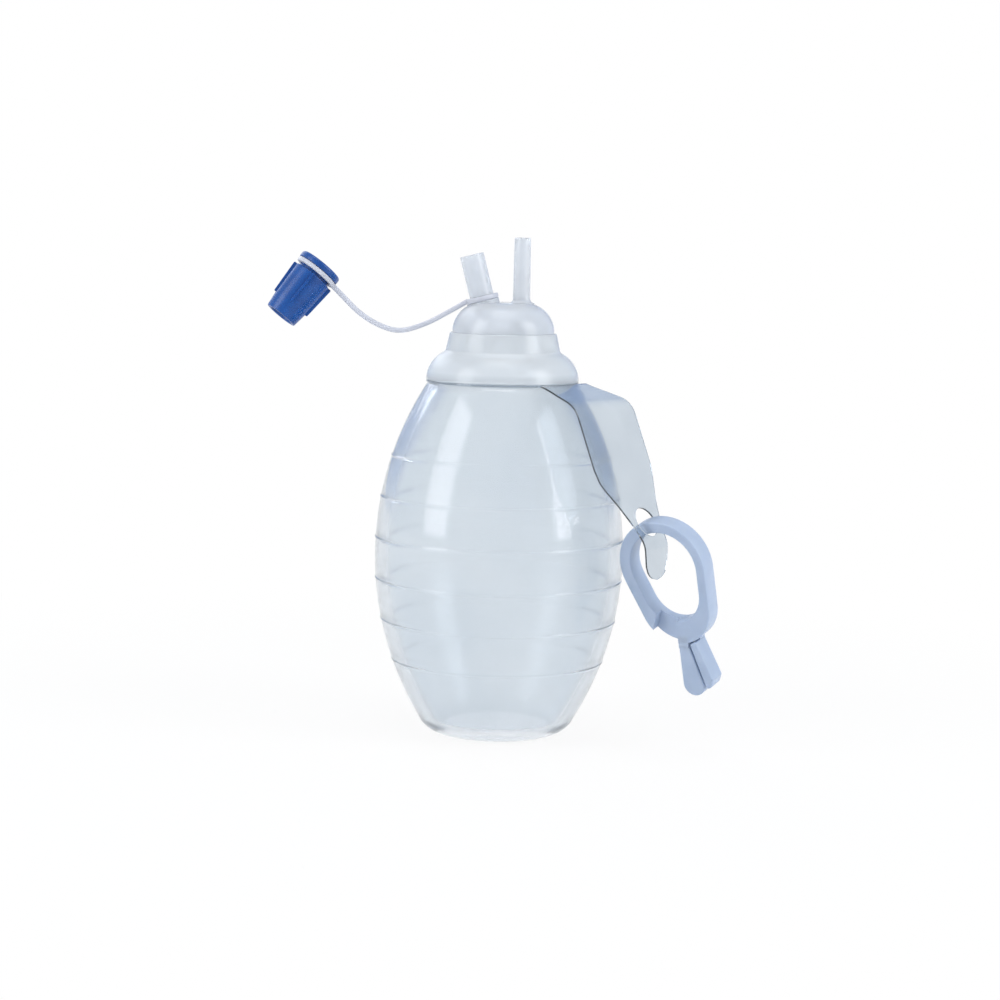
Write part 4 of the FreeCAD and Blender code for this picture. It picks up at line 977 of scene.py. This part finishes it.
def makeWorld():
    # white to the camera. Gloss and clear walls see it white ahead, dull blue beside that,
    # and plain behind.
    world = bpy.data.worlds.new("studioWorld")
    bpy.context.scene.world = world
    world.use_nodes = True
    tree = world.node_tree
    tree.nodes.clear()
    coords = addNode(tree, "ShaderNodeTexCoord")
    parts = addNode(tree, "ShaderNodeSeparateXYZ", links={"Vector": coords.outputs["Generated"]})
    angle = addNode(tree, "ShaderNodeMath", {"operation": "ARCCOSINE"}, {0: parts.outputs["Y"]})
    share = addNode(tree, "ShaderNodeMath", {"operation": "DIVIDE", 1: math.pi}, {0: angle.outputs[0]})
    ramp = addNode(tree, "ShaderNodeValToRGB", links={"Fac": share.outputs[0]})
    stops = ramp.color_ramp.elements
    backdrop = studio["backdrop"]
    for stop, (turn, tone) in zip(stops, (backdrop[0], backdrop[-1])):
        stop.position = turn / 180
        stop.color = hexColour(tone)
    for turn, tone in backdrop[1:-1]:
        stops.new(turn / 180).color = hexColour(tone)
    path, seen = seenByEye(tree)
    soft = addNode(tree, "ShaderNodeBackground",
                   {"Color": hexColour(studio["worldTone"]), "Strength": studio["worldStrength"]})
    through = addNode(tree, "ShaderNodeBackground", {"Strength": 1.0}, {"Color": ramp.outputs["Color"]})
    white = addNode(tree, "ShaderNodeBackground", {"Color": pureWhite, "Strength": 1.0})
    first = addNode(tree, "ShaderNodeMixShader",
                    links={0: seen.outputs[0], 1: soft.outputs[0], 2: through.outputs[0]})
    whole = addNode(tree, "ShaderNodeMixShader",
                    links={0: path.outputs["Is Camera Ray"], 1: first.outputs[0], 2: white.outputs[0]})
    addNode(tree, "ShaderNodeOutputWorld", links={"Surface": whole.outputs[0]})


def makeLights():
    aim = Vector((0, 0, studio["aimHeight"]))
    for name, around, up, distance, width, height, power in studio["lights"]:
        light = bpy.data.lights.new(name, "AREA")
        light.shape = "RECTANGLE"
        light.size = width * mm
        light.size_y = height * mm
        light.energy = power
        lamp = bpy.data.objects.new(name, light)
        spot = aim + distance * Vector((sind(around) * cosd(up), -cosd(around) * cosd(up), sind(up)))
        lamp.location = spot * mm
        lamp.rotation_euler = (aim - spot).to_track_quat("-Z", "Y").to_euler()
        bpy.context.scene.collection.objects.link(lamp)


# camera: the photograph's view, with the slight roll of its frame
view = {"distance": 650.0, "elevation": 6.5, "aimHeight": 63.2, "roll": 1.15,
        "lens": 86.7, "sensor": 36.0, "clipStart": 10.0}


def makeCamera():
    aim = Vector((0, 0, view["aimHeight"]))
    spot = aim + view["distance"] * Vector((0, -cosd(view["elevation"]), sind(view["elevation"])))
    data = bpy.data.cameras.new("photoCamera")
    data.lens = view["lens"]
    data.sensor_width = view["sensor"]
    data.clip_start = view["clipStart"] * mm
    camera = bpy.data.objects.new("photoCamera", data)
    level = (aim - spot).to_track_quat("-Z", "Y").to_matrix()
    turn = level @ Matrix.Rotation(math.radians(view["roll"]), 3, "Z")
    camera.matrix_world = Matrix.Translation(spot * mm) @ turn.to_4x4()
    bpy.context.scene.collection.objects.link(camera)
    bpy.context.scene.camera = camera


makeFloor()
makeWorld()
makeLights()
makeCamera()
bpy.context.scene.view_settings.view_transform = "Standard"
print("studio made")
